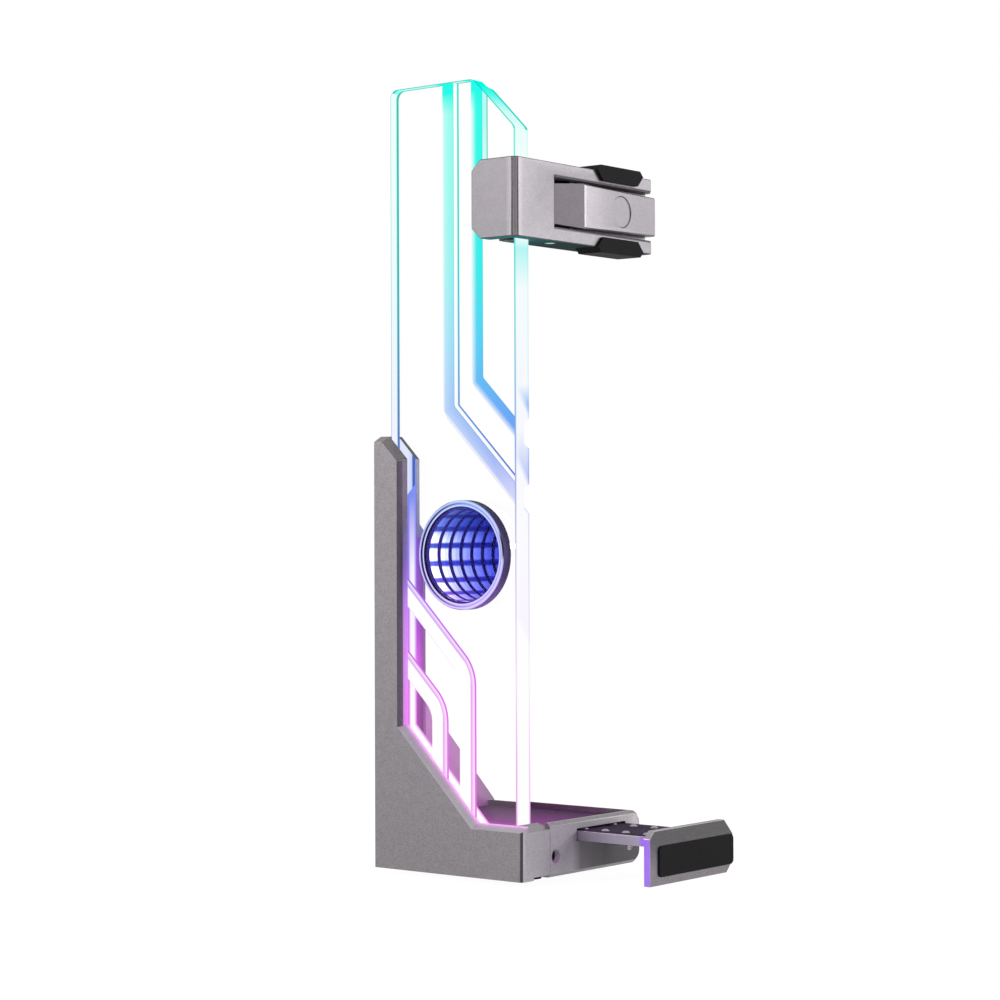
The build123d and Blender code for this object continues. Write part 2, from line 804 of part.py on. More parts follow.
# Flip lever: a knuckle with a cam lobe, a slanted facet and a flat tongue
with BuildPart() as clamp_lever:
    lever_face = arm_near - lever_proud
    lever_back = lever_face + lever_thickness
    facet_slope = (facet_depth - lever_face) / (lever_knee - lever_start)
    with BuildSketch(ground.offset(arm_middle - lever_height / 2)):
        with BuildLine():
            Polyline(
                (pin_x, facet_depth - facet_slope * (pin_x - lever_start)),
                (lever_knee, lever_face),
                (arm_end + lever_proud, lever_face),
                (arm_end + lever_proud, lever_back),
                (pin_x + lobe_radius + web_run, lever_back),
                (pin_x, pin_y + lobe_radius),
                close=True,
            )
        make_face()
        with Locations((pin_x, pin_y)):
            Circle(lobe_radius)
        # The facet cuts the cam flat, so the shoe is free once the lever is open
        with BuildLine():
            reach = lever_start - lobe_radius
            Polyline(
                (reach, facet_depth + facet_slope * lobe_radius),
                (lever_knee, lever_face),
                (lever_knee, lever_face - lobe_radius),
                (reach, lever_face - lobe_radius),
                close=True,
            )
        make_face(mode=Mode.SUBTRACT)
    extrude(amount=lever_height)
    # Seen from the front it is tallest at the knee
    with BuildSketch(front.offset(-arm_far)):
        with BuildLine():
            Polyline(
                (recess_x, arm_middle - lever_knuckle_height / 2),
                (lever_knee, arm_middle - lever_height / 2),
                (arm_end + lever_proud, arm_middle - lever_end_height / 2),
                (arm_end + lever_proud, arm_middle + lever_end_height / 2),
                (lever_knee, arm_middle + lever_height / 2),
                (recess_x, arm_middle + lever_knuckle_height / 2),
                close=True,
            )
        make_face()
    extrude(amount=arm_depth + lever_thickness, mode=Mode.INTERSECT)
    with BuildSketch(ground.offset(arm_middle - lever_height / 2)):
        with Locations((pin_x, pin_y)):
            Circle(pin_radius + bore_gap / 2)
    extrude(amount=lever_height, mode=Mode.SUBTRACT)
    tongue = clamp_lever.faces().sort_by(Axis.Y)[0]
    chamfer(tongue.edges().filter_by(Axis.Z, reverse=True), length=lever_edge_chamfer)
    # Plain round dimple for the thumb
    with BuildSketch(front.offset(-lever_face)):
        with Locations((arm_end - thumb_inset, arm_middle)):
            Circle(thumb_radius)
    extrude(amount=-thumb_depth, taper=thumb_slope, mode=Mode.SUBTRACT)
clamp_lever.part.label = "clamp_lever"
export_step(clamp_lever.part, "parts/clamp_lever.step")

with BuildPart() as lever_pin:
    with BuildSketch(ground.offset(arm_z)):
        with Locations((pin_x, pin_y)):
            Circle(pin_radius)
    extrude(amount=pin_length)
    chamfer(lever_pin.edges().filter_by(GeomType.CIRCLE), length=pin_bevel)
lever_pin.part.label = "lever_pin"
export_step(lever_pin.part, "parts/lever_pin.step")

# Shoe that the cam presses against the liner and the plate
shoe_tip = pin_x - lobe_radius - slide_gap
with BuildPart() as clamp_shoe:
    with BuildSketch(side.offset(plate_slot_far_x)):
        with Locations((shoe_y, arm_middle)):
            Circle(shoe_radius)
    extrude(amount=shoe_tip - plate_slot_far_x)
clamp_shoe.part.label = "clamp_shoe"
export_step(clamp_shoe.part, "parts/clamp_shoe.step")

# Rubber saddles over the top and under the bottom of the arm
for name, face_z, away in (("top", arm_top, 1), ("bottom", arm_z, -1)):
    with BuildPart() as arm_pad:
        outer_z = face_z + away * pad_thickness
        inner_z = face_z - away * pad_drop
        with BuildSketch(front.offset(-arm_near - pad_depth)):
            with BuildLine():
                Polyline(
                    (pad_start, face_z),
                    (pad_start + pad_thickness, outer_z),
                    (pad_start + pad_length - pad_thickness, outer_z),
                    (pad_start + pad_length, face_z),
                    close=True,
                )
            make_face()
        extrude(amount=pad_depth + pad_proud)
        with BuildSketch(front.offset(-arm_near)):
            with BuildLine():
                Polyline(
                    (pad_start, face_z),
                    (pad_start + pad_bevel, inner_z),
                    (pad_start + pad_length - pad_bevel, inner_z),
                    (pad_start + pad_length, face_z),
                    close=True,
                )
            make_face()
        extrude(amount=pad_proud)
    arm_pad.part.label = f"arm_pad_{name}"
    export_step(arm_pad.part, f"parts/arm_pad_{name}.step")


# Slide-out foot: flat plate with detent bumps and a hooked end wider than the plate
with BuildPart() as foot_slide:
    with BuildSketch(ground.offset(foot_z)):
        with Locations((foot_x, -foot_reach + hook_thickness)):
            Rectangle(
                foot_width, foot_reach - hook_thickness + foot_tail, align=(Align.MIN, Align.MIN)
            )
    extrude(amount=foot_thickness)
    with BuildSketch(front.offset(foot_reach)):
        with BuildLine():
            hook_high = under + hook_top
            hook_far_x = foot_x + hook_width
            Polyline(
                (foot_x, hook_clear),
                (hook_far_x - hook_corner_low, hook_clear),
                (hook_far_x, hook_clear + hook_corner_low),
                (hook_far_x, hook_high - hook_corner_top),
                (hook_far_x - hook_corner_top, hook_high),
                (foot_x + hook_thickness, hook_high),
                (foot_x, hook_high - hook_thickness),
                close=True,
            )
        make_face()
    extrude(amount=-hook_thickness)
    # Low bumps in two rows, with few sides because they repeat
    with BuildSketch(ground.offset(foot_top)):
        with Locations((foot_middle, bump_start)):
            with GridLocations(bump_spread, bump_pitch, 2, bump_rows):
                RegularPolygon(radius=bump_radius, side_count=bump_sides)
    extrude(amount=bump_height, taper=bump_taper)
foot_slide.part.label = "foot_slide"
export_step(foot_slide.part, "parts/foot_slide.step")

with BuildPart() as foot_pad:
    with BuildSketch(front.offset(foot_reach)):
        with Locations((foot_x + foot_pad_start, under + foot_pad_low)):
            Rectangle(
                hook_width - foot_pad_start - foot_pad_inset,
                foot_pad_high - foot_pad_low,
                align=(Align.MIN, Align.MIN),
            )
    extrude(amount=foot_pad_thickness)
    fillet(foot_pad.edges().filter_by(Axis.Y), radius=foot_pad_round)
    chamfer(foot_pad.faces().sort_by(Axis.Y)[0].edges(), length=foot_pad_bevel)
foot_pad.part.label = "foot_pad"
export_step(foot_pad.part, "parts/foot_pad.step")


# Rubber feet under the tray, with few sides because they repeat
with BuildPart() as rubber_feet:
    with BuildSketch(ground):
        with Locations(((tray_x + base_width) / 2, base_depth / 2)):
            with GridLocations(
                tray_width - 2 * (rubber_inset_x + rubber_radius),
                base_depth - 2 * (rubber_inset_y + rubber_radius),
                2,
                2,
            ):
                RegularPolygon(radius=rubber_radius, side_count=round_sides)
    extrude(amount=under)
rubber_feet.part.label = "rubber_feet"
export_step(rubber_feet.part, "parts/rubber_feet.step")


# Screws with a six-sided drive recess, each group in one node, with few sides because they repeat
with BuildPart() as tray_screws:
    for y, z in tray_screw_places:
        seat = facing_x(tray_x + flange_thickness, y, z)
        with BuildSketch(seat):
            RegularPolygon(radius=screw_head_radius, side_count=round_sides)
        extrude(amount=screw_head_height)
        with BuildSketch(seat):
            RegularPolygon(radius=screw_radius, side_count=round_sides)
        extrude(amount=-(flange_thickness + tray_screw_grip - seat_gap))
        with BuildSketch(seat.offset(screw_head_height)):
            RegularPolygon(radius=drive_radius, side_count=6)
        extrude(amount=-drive_depth, mode=Mode.SUBTRACT)
tray_screws.part.label = "tray_screws"
export_step(tray_screws.part, "parts/tray_screws.step")


# Countersunk screws sit flush in the column cover and in the back of the gusset
cover_seats = [facing_x(cover_x + cover_thickness, cover_screw_y, cover_screw_z)]
gusset_seats = [facing_back(x, base_depth, z) for x, z in gusset_screw_places]
for name, seats, grip in (
    ("cover_screw", cover_seats, cover_thickness + cover_screw_grip - seat_gap),
    ("gusset_screws", gusset_seats, 2 * tray_wall),
):
    with BuildPart() as countersunk:
        for seat in seats:
            with BuildSketch(seat):
                RegularPolygon(radius=screw_head_radius - bore_gap, side_count=round_sides)
            extrude(amount=-(screw_head_radius - screw_radius), taper=screw_cone)
            with BuildSketch(seat):
                RegularPolygon(radius=screw_radius, side_count=round_sides)
            extrude(amount=-grip)
            with BuildSketch(seat):
                RegularPolygon(radius=drive_radius, side_count=6)
            extrude(amount=-drive_depth, mode=Mode.SUBTRACT)
    countersunk.part.label = name
    export_step(countersunk.part, f"parts/{name}.step")

with BuildPart() as deck_screws:
    head_seat = deck_z + deck_thickness - deck_screw_head_height - seat_gap
    with BuildSketch(ground.offset(head_seat)):
        with Locations(*deck_screw_places):
            RegularPolygon(radius=deck_screw_head_radius, side_count=round_sides)
    extrude(amount=deck_screw_head_height)
    with BuildSketch(ground.offset(head_seat)):
        with Locations(*deck_screw_places):
            RegularPolygon(radius=deck_screw_radius, side_count=round_sides)
    extrude(amount=-(head_seat - deck_z + deck_screw_grip - seat_gap))
deck_screws.part.label = "deck_screws"
export_step(deck_screws.part, "parts/deck_screws.step")


# Rubber grommet in the back wall, where the lighting cable enters
with BuildPart() as cable_grommet:
    entry = facing_back(grommet_x, base_depth, grommet_z)
    with BuildSketch(entry):
        Circle(grommet_radius + grommet_lip)
    extrude(amount=grommet_lip)
    with BuildSketch(entry):
        Circle(grommet_radius)
    extrude(amount=-tray_wall)
    with BuildSketch(entry.offset(-tray_wall)):
        Circle(grommet_radius + grommet_lip)
    extrude(amount=-grommet_lip)
    with BuildSketch(entry.offset(grommet_lip)):
        Circle(grommet_bore)
    extrude(amount=-(tray_wall + 2 * grommet_lip), mode=Mode.SUBTRACT)
cable_grommet.part.label = "cable_grommet"
export_step(cable_grommet.part, "parts/cable_grommet.step")
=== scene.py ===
# %% [markdown]
# A graphics card support stands on a white table. It is mostly one sheet of clear acrylic that is lit
# from its edges, held in a grey metal base, with an arm that carries the card and a foot that slides out.
# The imported model gives every piece its place. This first step loads it.

import math

import bmesh
import bpy
from mathutils import Matrix, Vector


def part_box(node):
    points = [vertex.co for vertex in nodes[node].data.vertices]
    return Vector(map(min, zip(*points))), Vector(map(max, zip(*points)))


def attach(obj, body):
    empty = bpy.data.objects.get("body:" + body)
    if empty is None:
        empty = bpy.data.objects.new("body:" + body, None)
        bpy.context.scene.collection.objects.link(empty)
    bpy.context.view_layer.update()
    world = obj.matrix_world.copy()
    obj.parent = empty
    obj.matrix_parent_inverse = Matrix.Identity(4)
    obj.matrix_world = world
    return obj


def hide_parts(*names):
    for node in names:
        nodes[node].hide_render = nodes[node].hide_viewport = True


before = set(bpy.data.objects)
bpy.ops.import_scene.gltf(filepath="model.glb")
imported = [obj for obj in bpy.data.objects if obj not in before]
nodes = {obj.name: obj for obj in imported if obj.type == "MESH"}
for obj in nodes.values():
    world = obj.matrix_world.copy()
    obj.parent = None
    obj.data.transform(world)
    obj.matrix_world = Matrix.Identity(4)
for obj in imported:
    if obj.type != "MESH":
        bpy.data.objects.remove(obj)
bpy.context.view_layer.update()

# %% [markdown]
# The camera stands low and to the left, about 65 cm away with a long lens, so the upright edges stay
# nearly parallel. Its place and turn come from matching the corners of the bracket. A matrix of the
# right, up and back directions sets all three turns at once.

# %% Camera
azimuth, elevation, roll = (math.radians(a) for a in (-51.181, -0.552, -0.199))
camera_place = Vector((-0.51774, -0.39594, 0.08994))
focal_pixels = 2526.76
picture_pixels = 1000
sensor_width = 36
back = Vector(
    (math.sin(azimuth) * math.cos(elevation), -math.cos(azimuth) * math.cos(elevation), math.sin(elevation))
)
level = Vector((math.cos(azimuth), math.sin(azimuth), 0))
upward = back.cross(level)
right = math.cos(roll) * level + math.sin(roll) * upward
up = math.cos(roll) * upward - math.sin(roll) * level
camera_data = bpy.data.cameras.new("long_lens")
camera_data.sensor_width = sensor_width
camera_data.lens = focal_pixels * sensor_width / picture_pixels
camera_data.shift_x = 0.0118
camera_data.shift_y = -0.0003
camera = bpy.data.objects.new("long_lens", camera_data)
turn = Matrix((right, up, back)).transposed().to_4x4()
camera.matrix_world = Matrix.Translation(camera_place) @ turn
bpy.context.scene.collection.objects.link(camera)
bpy.context.scene.camera = camera
print("lens", round(camera_data.lens, 2))

# %% [markdown]
# Materials here are built from nodes. A few short helpers keep the cells readable: they start a
# material, add a node with its settings, join two sockets, work out numbers and mix colours or shaders.
# They also work on the world, which has nodes of its own.


# %% Helpers for materials
def new_material(name):
    """An empty node material and its output node."""
    made = bpy.data.materials.new(name)
    made.use_nodes = True
    made.node_tree.nodes.clear()
    return made, made.node_tree.nodes.new("ShaderNodeOutputMaterial")


def add(material, kind, **settings):
    """A node of one kind; in_Name sets the input of that name, and any other word a property."""
    node = material.node_tree.nodes.new("ShaderNode" + kind)
    for key, value in settings.items():
        if key.startswith("in_"):
            node.inputs[key[3:].replace("_", " ")].default_value = value
        else:
            setattr(node, key, value)
    return node


def join(material, out_socket, in_socket):
    """Link from one node's output to another's input."""
    material.node_tree.links.new(out_socket, in_socket)


def maths(material, operation, a, b=None, clamp=False):
    """A Math node whose inputs are sockets or numbers; returns its output."""
    node = add(material, "Math", operation=operation, use_clamp=clamp)
    for slot, value in zip(node.inputs, (a, b)):
        if value is None:
            continue
        if isinstance(value, (int, float)):
            slot.default_value = value
        else:
            join(material, value, slot)
    return node.outputs[0]


def place(material):
    """Separated X, Y and Z of the piece's own coordinates, in metres."""
    coordinates = add(material, "TexCoord")
    split = add(material, "SeparateXYZ")
    join(material, coordinates.outputs["Object"], split.inputs[0])
    return coordinates.outputs["Object"], split.outputs


def ramp(material, value, stops, low=0.0, high=1.0):
    """A colour ramp read at value, which is first spread from low..high to 0..1."""
    spread = add(material, "MapRange")
    spread.inputs["From Min"].default_value = low
    spread.inputs["From Max"].default_value = high
    join(material, value, spread.inputs["Value"])
    node = add(material, "ValToRGB")
    join(material, spread.outputs[0], node.inputs[0])
    while len(node.color_ramp.elements) < len(stops):
        node.color_ramp.elements.new(0.5)
    for element, (position, colour) in zip(node.color_ramp.elements, stops):
        element.position = position
        element.color = (*colour, 1)
    return node.outputs[0]


def blend_colours(material, amount, first, second, kind="MIX"):
    """Mix of two colours, each a socket or a tuple."""
    node = add(material, "Mix", data_type="RGBA", blend_type=kind)
    if isinstance(amount, (int, float)):
        node.inputs[0].default_value = amount
    else:
        join(material, amount, node.inputs[0])
    for slot, colour in ((node.inputs[6], first), (node.inputs[7], second)):
        if isinstance(colour, tuple):
            slot.default_value = (*colour, 1)
        else:
            join(material, colour, slot)
    return node.outputs[2]


def mix_shaders(material, share, first, second):
    """Shader that goes from first to second as share goes from 0 to 1; all three are sockets."""
    node = add(material, "MixShader")
    for slot, source in zip(node.inputs, (share, first, second)):
        join(material, source, slot)
    return node.outputs[0]


def glow_all_over(material, output, colour, strength=1.0):
    """Ends a material as plain light of one colour socket."""
    light = add(material, "Emission", in_Strength=strength)
    join(material, colour, light.inputs[0])
    join(material, light.outputs[0], output.inputs[0])


def grey_run(material, value, low, high, *stops):
    """Grey ramp read at value between low and high; the stops are (position, grey)."""
    return ramp(material, value, [(where, (grey, grey, grey)) for where, grey in stops], low, high)


def by_place(axis, run, *stops):
    """Function of a material and a place that reads a grey ramp over a run of x, y or z."""

    def read(material, *point):
        return grey_run(material, point["xyz".index(axis)], *run, *stops)

    return read


# %% [markdown]
# Most shades follow a place on the sheet or on the housing around it, so their boxes are read first.

# %% Places on the sheet and the housing
plate_low, plate_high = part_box("light_plate")
sheet_front, sheet_back = plate_low.x, plate_high.x
sheet = sheet_back - sheet_front
shell_low, shell_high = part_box("left_shell")
outer_face, near_face = shell_low.x, shell_low.y
print("acrylic", round(sheet * 1000, 2), "mm thick, housing", round(shell_high.z * 1000, 1), "mm high")

# %% [markdown]
# The lamps behind the acrylic fade from magenta at the foot through violet and blue to cyan at the top.
# One colour ramp over the height holds that run, and every lit face reads it. The positions are shares
# of the height from the table to the sheet's top.

# %% The run of lamp colours
white = (1.0, 1.0, 1.0)
lamp_run = [
    (0.00, (0.90, 0.14, 0.85)),
    (0.20, (0.84, 0.14, 0.88)),
    (0.31, (0.62, 0.14, 0.90)),
    (0.39, (0.30, 0.13, 0.90)),
    (0.48, (0.11, 0.18, 0.88)),
    (0.60, (0.11, 0.42, 0.92)),
    (0.68, (0.06, 0.64, 0.90)),
    (0.76, (0.01, 0.82, 0.82)),
    (0.86, (0.00, 0.92, 0.80)),
    (1.00, (0.00, 0.97, 0.80)),
]
whole_height = (0.0, plate_high.z)


def lamp_colour(material, height):
    """The lamps' colour at a height over the table."""
    return ramp(material, height, lamp_run, *whole_height)


print("lamp colours", len(lamp_run))

# %% [markdown]
# The metal is aluminium with a sand-blasted grey coat. Close up it is a grain of fine bright and dark
# specks with a soft sheen. Two sizes of noise make the specks, and the finer one also raises the
# surface a few hundredths of a millimetre, which breaks up the highlights along the edges. A face may
# also take a painted shade or highlight by its place, and a painted glow of the lamps beside it.


# %% Sand-blasted metal
grain_scale, cloud_scale = 3600, 400
grain_height = 0.00004


def sand_metal(name, colour, speck, roughness=0.42, sheen=0.75, shade=None, lit=None):
    """Coated metal whose grains differ from its colour by speck; a sheen of 0 makes a dead matt coat.

    The shade is a painted shade or highlight by place, and lit how strongly the lamps' painted glow shows.
    """
    made, output = new_material(name)
    where, (x, y, z) = place(made)
    fine = add(made, "TexNoise", in_Scale=grain_scale, in_Detail=2.0, in_Roughness=0.6)
    join(made, where, fine.inputs["Vector"])
    coarse = add(made, "TexNoise", in_Scale=cloud_scale, in_Detail=3.0, in_Roughness=0.55)
    join(made, where, coarse.inputs["Vector"])
    dark = tuple(c * (1 - speck) for c in colour)
    light = tuple(min(1, c * (1 + speck)) for c in colour)
    grains = ramp(made, fine.outputs[0], [(0.34, dark), (0.5, colour), (0.66, light)])
    cloud = grey_run(made, coarse.outputs[0], 0.0, 1.0, (0.3, 0.96), (0.7, 1.04))
    tone = blend_colours(made, 1.0, grains, cloud, "MULTIPLY")
    if shade:
        tone = blend_colours(made, 1.0, tone, shade(made, x, y, z), "MULTIPLY")
    surface = add(made, "BsdfPrincipled", in_Metallic=sheen, in_Roughness=roughness)
    if sheen == 0:
        surface.inputs["Specular IOR Level"].default_value = 0.05
    join(made, tone, surface.inputs["Base Color"])
    if lit:
        join(made, lamp_colour(made, z), surface.inputs["Emission Color"])
        join(made, lit(made, x, y, z), surface.inputs["Emission Strength"])
    bump = add(made, "Bump", in_Strength=0.25, in_Distance=grain_height)
    join(made, fine.outputs[0], bump.inputs["Height"])
    join(made, bump.outputs[0], surface.inputs["Normal"])
    join(made, surface.outputs[0], output.inputs[0])
    return made


print("specks about", round(1000 / grain_scale, 2), "mm across")

# %% [markdown]
# The shades follow the photograph, and each is a painted shade or a painted highlight in the metal's
# colour. The housing is painted a little darker near the table. Under the foot's plate the front wall
# gets a painted shadow. The arm's faces get a painted highlight in a narrow band beside the dark
# corner, and the lever a painted highlight at its knee. A run is the lowest and the highest place of a
# shade in metres.


# %% Shades by place
foot_low, foot_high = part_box("foot_slide")
arm_low, arm_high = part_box("arm_body")
arm_cut = 0.0011
arm_corner_run = (arm_low.x, arm_low.x + arm_cut)
arm_front_run = (arm_low.x + arm_cut, arm_low.x + 0.0032)
arm_side_run = (arm_low.y + arm_cut, arm_low.y + 0.0030)
knee = outer_face + 0.0265
tongue_run = (knee, knee + 0.012)
rim_run = (outer_face + 0.0013, outer_face + 0.0016)
housing_run = (0.0, 0.070)
shadow_run = (foot_low.x - 0.002, foot_low.x + 0.012)
shadow_top = (0.0098, 0.0104)
column_edge_run = (0.088, 0.096)
cover_edge_run = (0.085, 0.100)
hook_run = (0.004, 0.011)
hook_side_run = (foot_low.y, foot_low.y + 0.020)
# Painted violet lamp light for the edge of the foot's hooked end.
painted_lamp_violet = (1.0, 0.55, 1.9)

# Painted shade: the housing is darker near the table.
housing_shade = by_place("z", housing_run, (0.0, 0.86), (1.0, 1.0))
# Painted highlights: bright bands on the arm's front and side beside its cut corner, and along both borders
# of that corner.
arm_front_shade = by_place("x", arm_front_run, (0.0, 1.25), (0.5, 1.22), (1.0, 1.0))
arm_side_shade = by_place("y", arm_side_run, (0.0, 1.35), (0.5, 1.25), (1.0, 1.0))
arm_corner_shade = by_place("x", arm_corner_run, (0.0, 1.7), (0.35, 1.0), (0.65, 1.0), (1.0, 1.7))
# Painted highlight on the housing's bevelled edges above the lamps, and painted shade on them lower down.
edge_shade = by_place("z", column_edge_run, (0.0, 0.45), (1.0, 1.1))
# Painted highlight on the lever's tongue, brightest at its knee.
tongue_shade = by_place("x", tongue_run, (0.0, 1.9), (0.05, 1.9), (0.08, 1.4), (1.0, 1.0))
# Painted highlight: a lighter strip along the inner side of the rim's upright stretch.
rim_shade = by_place("x", rim_run, (0.0, 1.0), (1.0, 1.8))
# Painted shade on the cover's edge below the top of the column.
cover_shade = by_place("z", cover_edge_run, (0.0, 0.30), (1.0, 1.0))
# Painted shade on the hooked end's front face, darker towards its top.
hook_shade = by_place("z", hook_run, (0.0, 1.0), (1.0, 0.45))


def front_shade(made, x, y, z):
    """Painted shadow below the foot's plate, deeper the further it lies from the housing."""
    beside = grey_run(made, x, *shadow_run, (0.0, 1.0), (0.25, 0.45), (1.0, 0.20))
    above = grey_run(made, z, *shadow_top, (0.0, 0.0), (1.0, 1.0))
    return maths(made, "MAXIMUM", beside, above)


def foot_side_shade(made, x, y, z):
    """Painted violet lamp light on the hooked end's edge, plain on the plate's."""
    stops = [(0.0, painted_lamp_violet), (0.13, painted_lamp_violet), (0.18, white), (1.0, white)]
    return ramp(made, y, stops, *hook_side_run)


print("arm", round((arm_high.x - arm_low.x) * 1000, 1), "mm long")
print("foot", round(foot_high.z * 1000, 1), "mm high")

# %% [markdown]
# The lamps light the inner side of the housing's rim, the gusset and the deck beside the sheet, and the
# underside of the arm. Real light from inside the acrylic would be slow and noisy here, so each metal
# gives off a little of the lamps' colour by itself, less and less away from the sheet.


# %% Lamp light on the metal
lamps_fade = (0.070, 0.092)


def below_lamps(inner):
    """The light that inner gives, faded out above the lamps of the column."""

    def read(made, x, y, z):
        below = grey_run(made, z, *lamps_fade, (0.0, 1.0), (1.0, 0.0))
        return maths(made, "MULTIPLY", inner(made, x, y, z), below)

    return read


inner_rim = (outer_face + 0.0014, outer_face + 0.0027)
inner_slant = (outer_face + 0.0012, outer_face + 0.0027)
rim_light = below_lamps(by_place("x", inner_rim, (0.0, 0.0), (0.12, 0.55), (1.0, 0.85)))
slant_light = below_lamps(by_place("x", inner_slant, (0.0, 0.0), (0.45, 0.14), (0.75, 0.45), (1.0, 1.1)))
gusset_run = (sheet_back + 0.005, sheet_back + 0.042)
gusset_light = by_place("x", gusset_run, (0.0, 0.42), (0.6, 0.32), (0.85, 0.2), (1.0, 0.04))
deck_run = (sheet_back + 0.001, sheet_back + 0.034)
deck_light = by_place("x", deck_run, (0.0, 0.50), (0.3, 0.16), (1.0, 0.03))
cover_run = (0.085, 0.112)
cover_light = by_place("z", cover_run, (0.0, 0.30), (1.0, 0.06))
under_run = (arm_low.x, sheet_back + 0.012)
under_light = by_place("x", under_run, (0.0, 0.16), (0.33, 0.14), (0.50, 0.075), (0.75, 0.035), (1.0, 0.01))
print("gusset lit over", round((gusset_run[1] - gusset_run[0]) * 1000), "mm")

# %% [markdown]
# One recipe now makes all the metals. They differ in their grey, in their grain and in the painted
# shade, highlight and lamp glow that the place gives them. The edges carry a painted highlight and are
# paler, and faces that look at the dark side of the room carry a painted reflection of it and are
# nearly black.

# %% The metals
frame_metal = sand_metal("frame_metal", (0.26, 0.24, 0.255), 0.20, shade=housing_shade)
front_metal = sand_metal("front_metal", (0.43, 0.40, 0.43), 0.16, shade=front_shade)
# Painted highlight: the sloping rim is paler than the wall as it faces the light, with a painted lamp glow
# near the sheet.
frame_rim = sand_metal("frame_rim", (0.46, 0.415, 0.465), 0.12, lit=slant_light)
# Painted highlight on the housing's bevelled edges.
frame_edge = sand_metal("frame_edge", (0.62, 0.59, 0.62), 0.08, roughness=0.8, sheen=0, shade=edge_shade)
# Duller painted highlight on the tray's bevelled edges and on the foot's bumps.
edge_highlight = sand_metal("edge_highlight", (0.34, 0.32, 0.34), 0.12)
# Painted shade: the column's top faces are darker than the wall.
column_top = sand_metal("column_top", (0.21, 0.19, 0.20), 0.25)
# Painted highlight inside the two holes in the front wall.
hole_wall = sand_metal("hole_wall", (0.75, 0.72, 0.75), 0.05)
# Painted shade on the rim's upright stretch, which faces the dark side of the room, with a painted lighter
# strip and painted lamp glow.
frame_shade = sand_metal("frame_shade", (0.15, 0.12, 0.17), 0.15, shade=rim_shade, lit=rim_light)
# Painted reflection of the dark side of the room, and beside it a painted highlight, on the housing's
# rounded near corner.
corner_dark = sand_metal("corner_dark", (0.07, 0.062, 0.07), 0.15)
corner_light = sand_metal("corner_light", (0.42, 0.39, 0.42), 0.10)
gusset_metal = sand_metal("gusset_metal", (0.15, 0.13, 0.15), 0.15, lit=gusset_light)
# Painted shade on the cover's edge low down, with painted lamp glow, and on its slanted top, which is nearly
# black.
cover_edge = sand_metal("cover_edge", (0.17, 0.17, 0.19), 0.15, shade=cover_shade, lit=cover_light)
cover_top = sand_metal("cover_top", (0.05, 0.055, 0.05), 0.15)
arm_metal = sand_metal("arm_metal", (0.21, 0.197, 0.21), 0.13, shade=arm_front_shade)
arm_side = sand_metal("arm_side", (0.225, 0.21, 0.225), 0.13, shade=arm_side_shade)
arm_corner = sand_metal("arm_corner", (0.38, 0.345, 0.37), 0.12, shade=arm_corner_shade)
# Painted highlight on the lever's bevelled edges.
arm_edge = sand_metal("arm_edge", (0.95, 0.92, 0.95), 0.04, roughness=0.3)
# Painted shade: dark lines along the arm's bevelled edges.
arm_shade = sand_metal("arm_shade", (0.10, 0.085, 0.10), 0.1)
# Painted shade under the arm, with a painted teal glow of the lamps.
arm_under = sand_metal("arm_under", (0.008, 0.02, 0.02), 0.2, roughness=0.8, sheen=0, lit=under_light)
lever_metal = sand_metal("lever_metal", (0.185, 0.173, 0.185), 0.11, shade=tongue_shade)
# Painted shade on the lever's facet that faces the dark side of the room.
lever_facet = sand_metal("lever_facet", (0.14, 0.125, 0.14), 0.12)
# Painted shade on the deck with a painted purple tint of the lamps' light, and painted lamp glow near the
# sheet.
deck_metal = sand_metal("deck_metal", (0.065, 0.04, 0.07), 0.25, roughness=0.8, sheen=0, lit=deck_light)
# Painted shade: the top of the foot's plate is dark, with a painted purple tint of the lamps' light.
slide_metal = sand_metal("slide_metal", (0.04, 0.026, 0.05), 0.2, roughness=0.8, sheen=0)
hook_metal = sand_metal("hook_metal", (0.21, 0.195, 0.205), 0.2, shade=hook_shade)
foot_side = sand_metal("foot_side", (0.34, 0.31, 0.35), 0.1, shade=foot_side_shade)
print("metals", len(bpy.data.materials))

# %% [markdown]
# Clear acrylic bends light, and that shifts the back of the sheet sideways as it does in the photograph,
# so its two faces are real glass with the index of acrylic. The edges and the engraved channels are
# ground, so they catch the light and glow. On an edge the glow is nearly white in the middle of the
# sheet and coloured at the two corners.


# %% How an edge glows
wedge_rise = 0.0070
wedge_lean, wedge_crispness = 0.85, 2.6


def line_along(material, distance, width, crisp):
    """1 beside a corner and 0 past a width from it, with a crisp end."""
    left = maths(material, "SUBTRACT", 1.0, maths(material, "DIVIDE", distance, width))
    return maths(material, "MULTIPLY", left, crisp, True)


def wedge(material, x, z, low, high):
    """1 where a channel or the ring throws its light on the near edge, from high down to low."""
    across = maths(material, "DIVIDE", maths(material, "SUBTRACT", x, sheet_front), sheet)
    border = maths(material, "SUBTRACT", low + wedge_rise, z)
    border = maths(material, "DIVIDE", border, wedge_rise, True)
    inside = maths(material, "SUBTRACT", across, maths(material, "MULTIPLY", border, wedge_lean))
    soft = maths(material, "MULTIPLY", inside, wedge_crispness, True)
    above = maths(material, "GREATER_THAN", z, low)
    below = grey_run(material, z, low + 0.002, high, (0.0, 1.0), (0.4, 0.6), (1.0, 0.0))
    return maths(material, "MULTIPLY", soft, maths(material, "MULTIPLY", above, below))


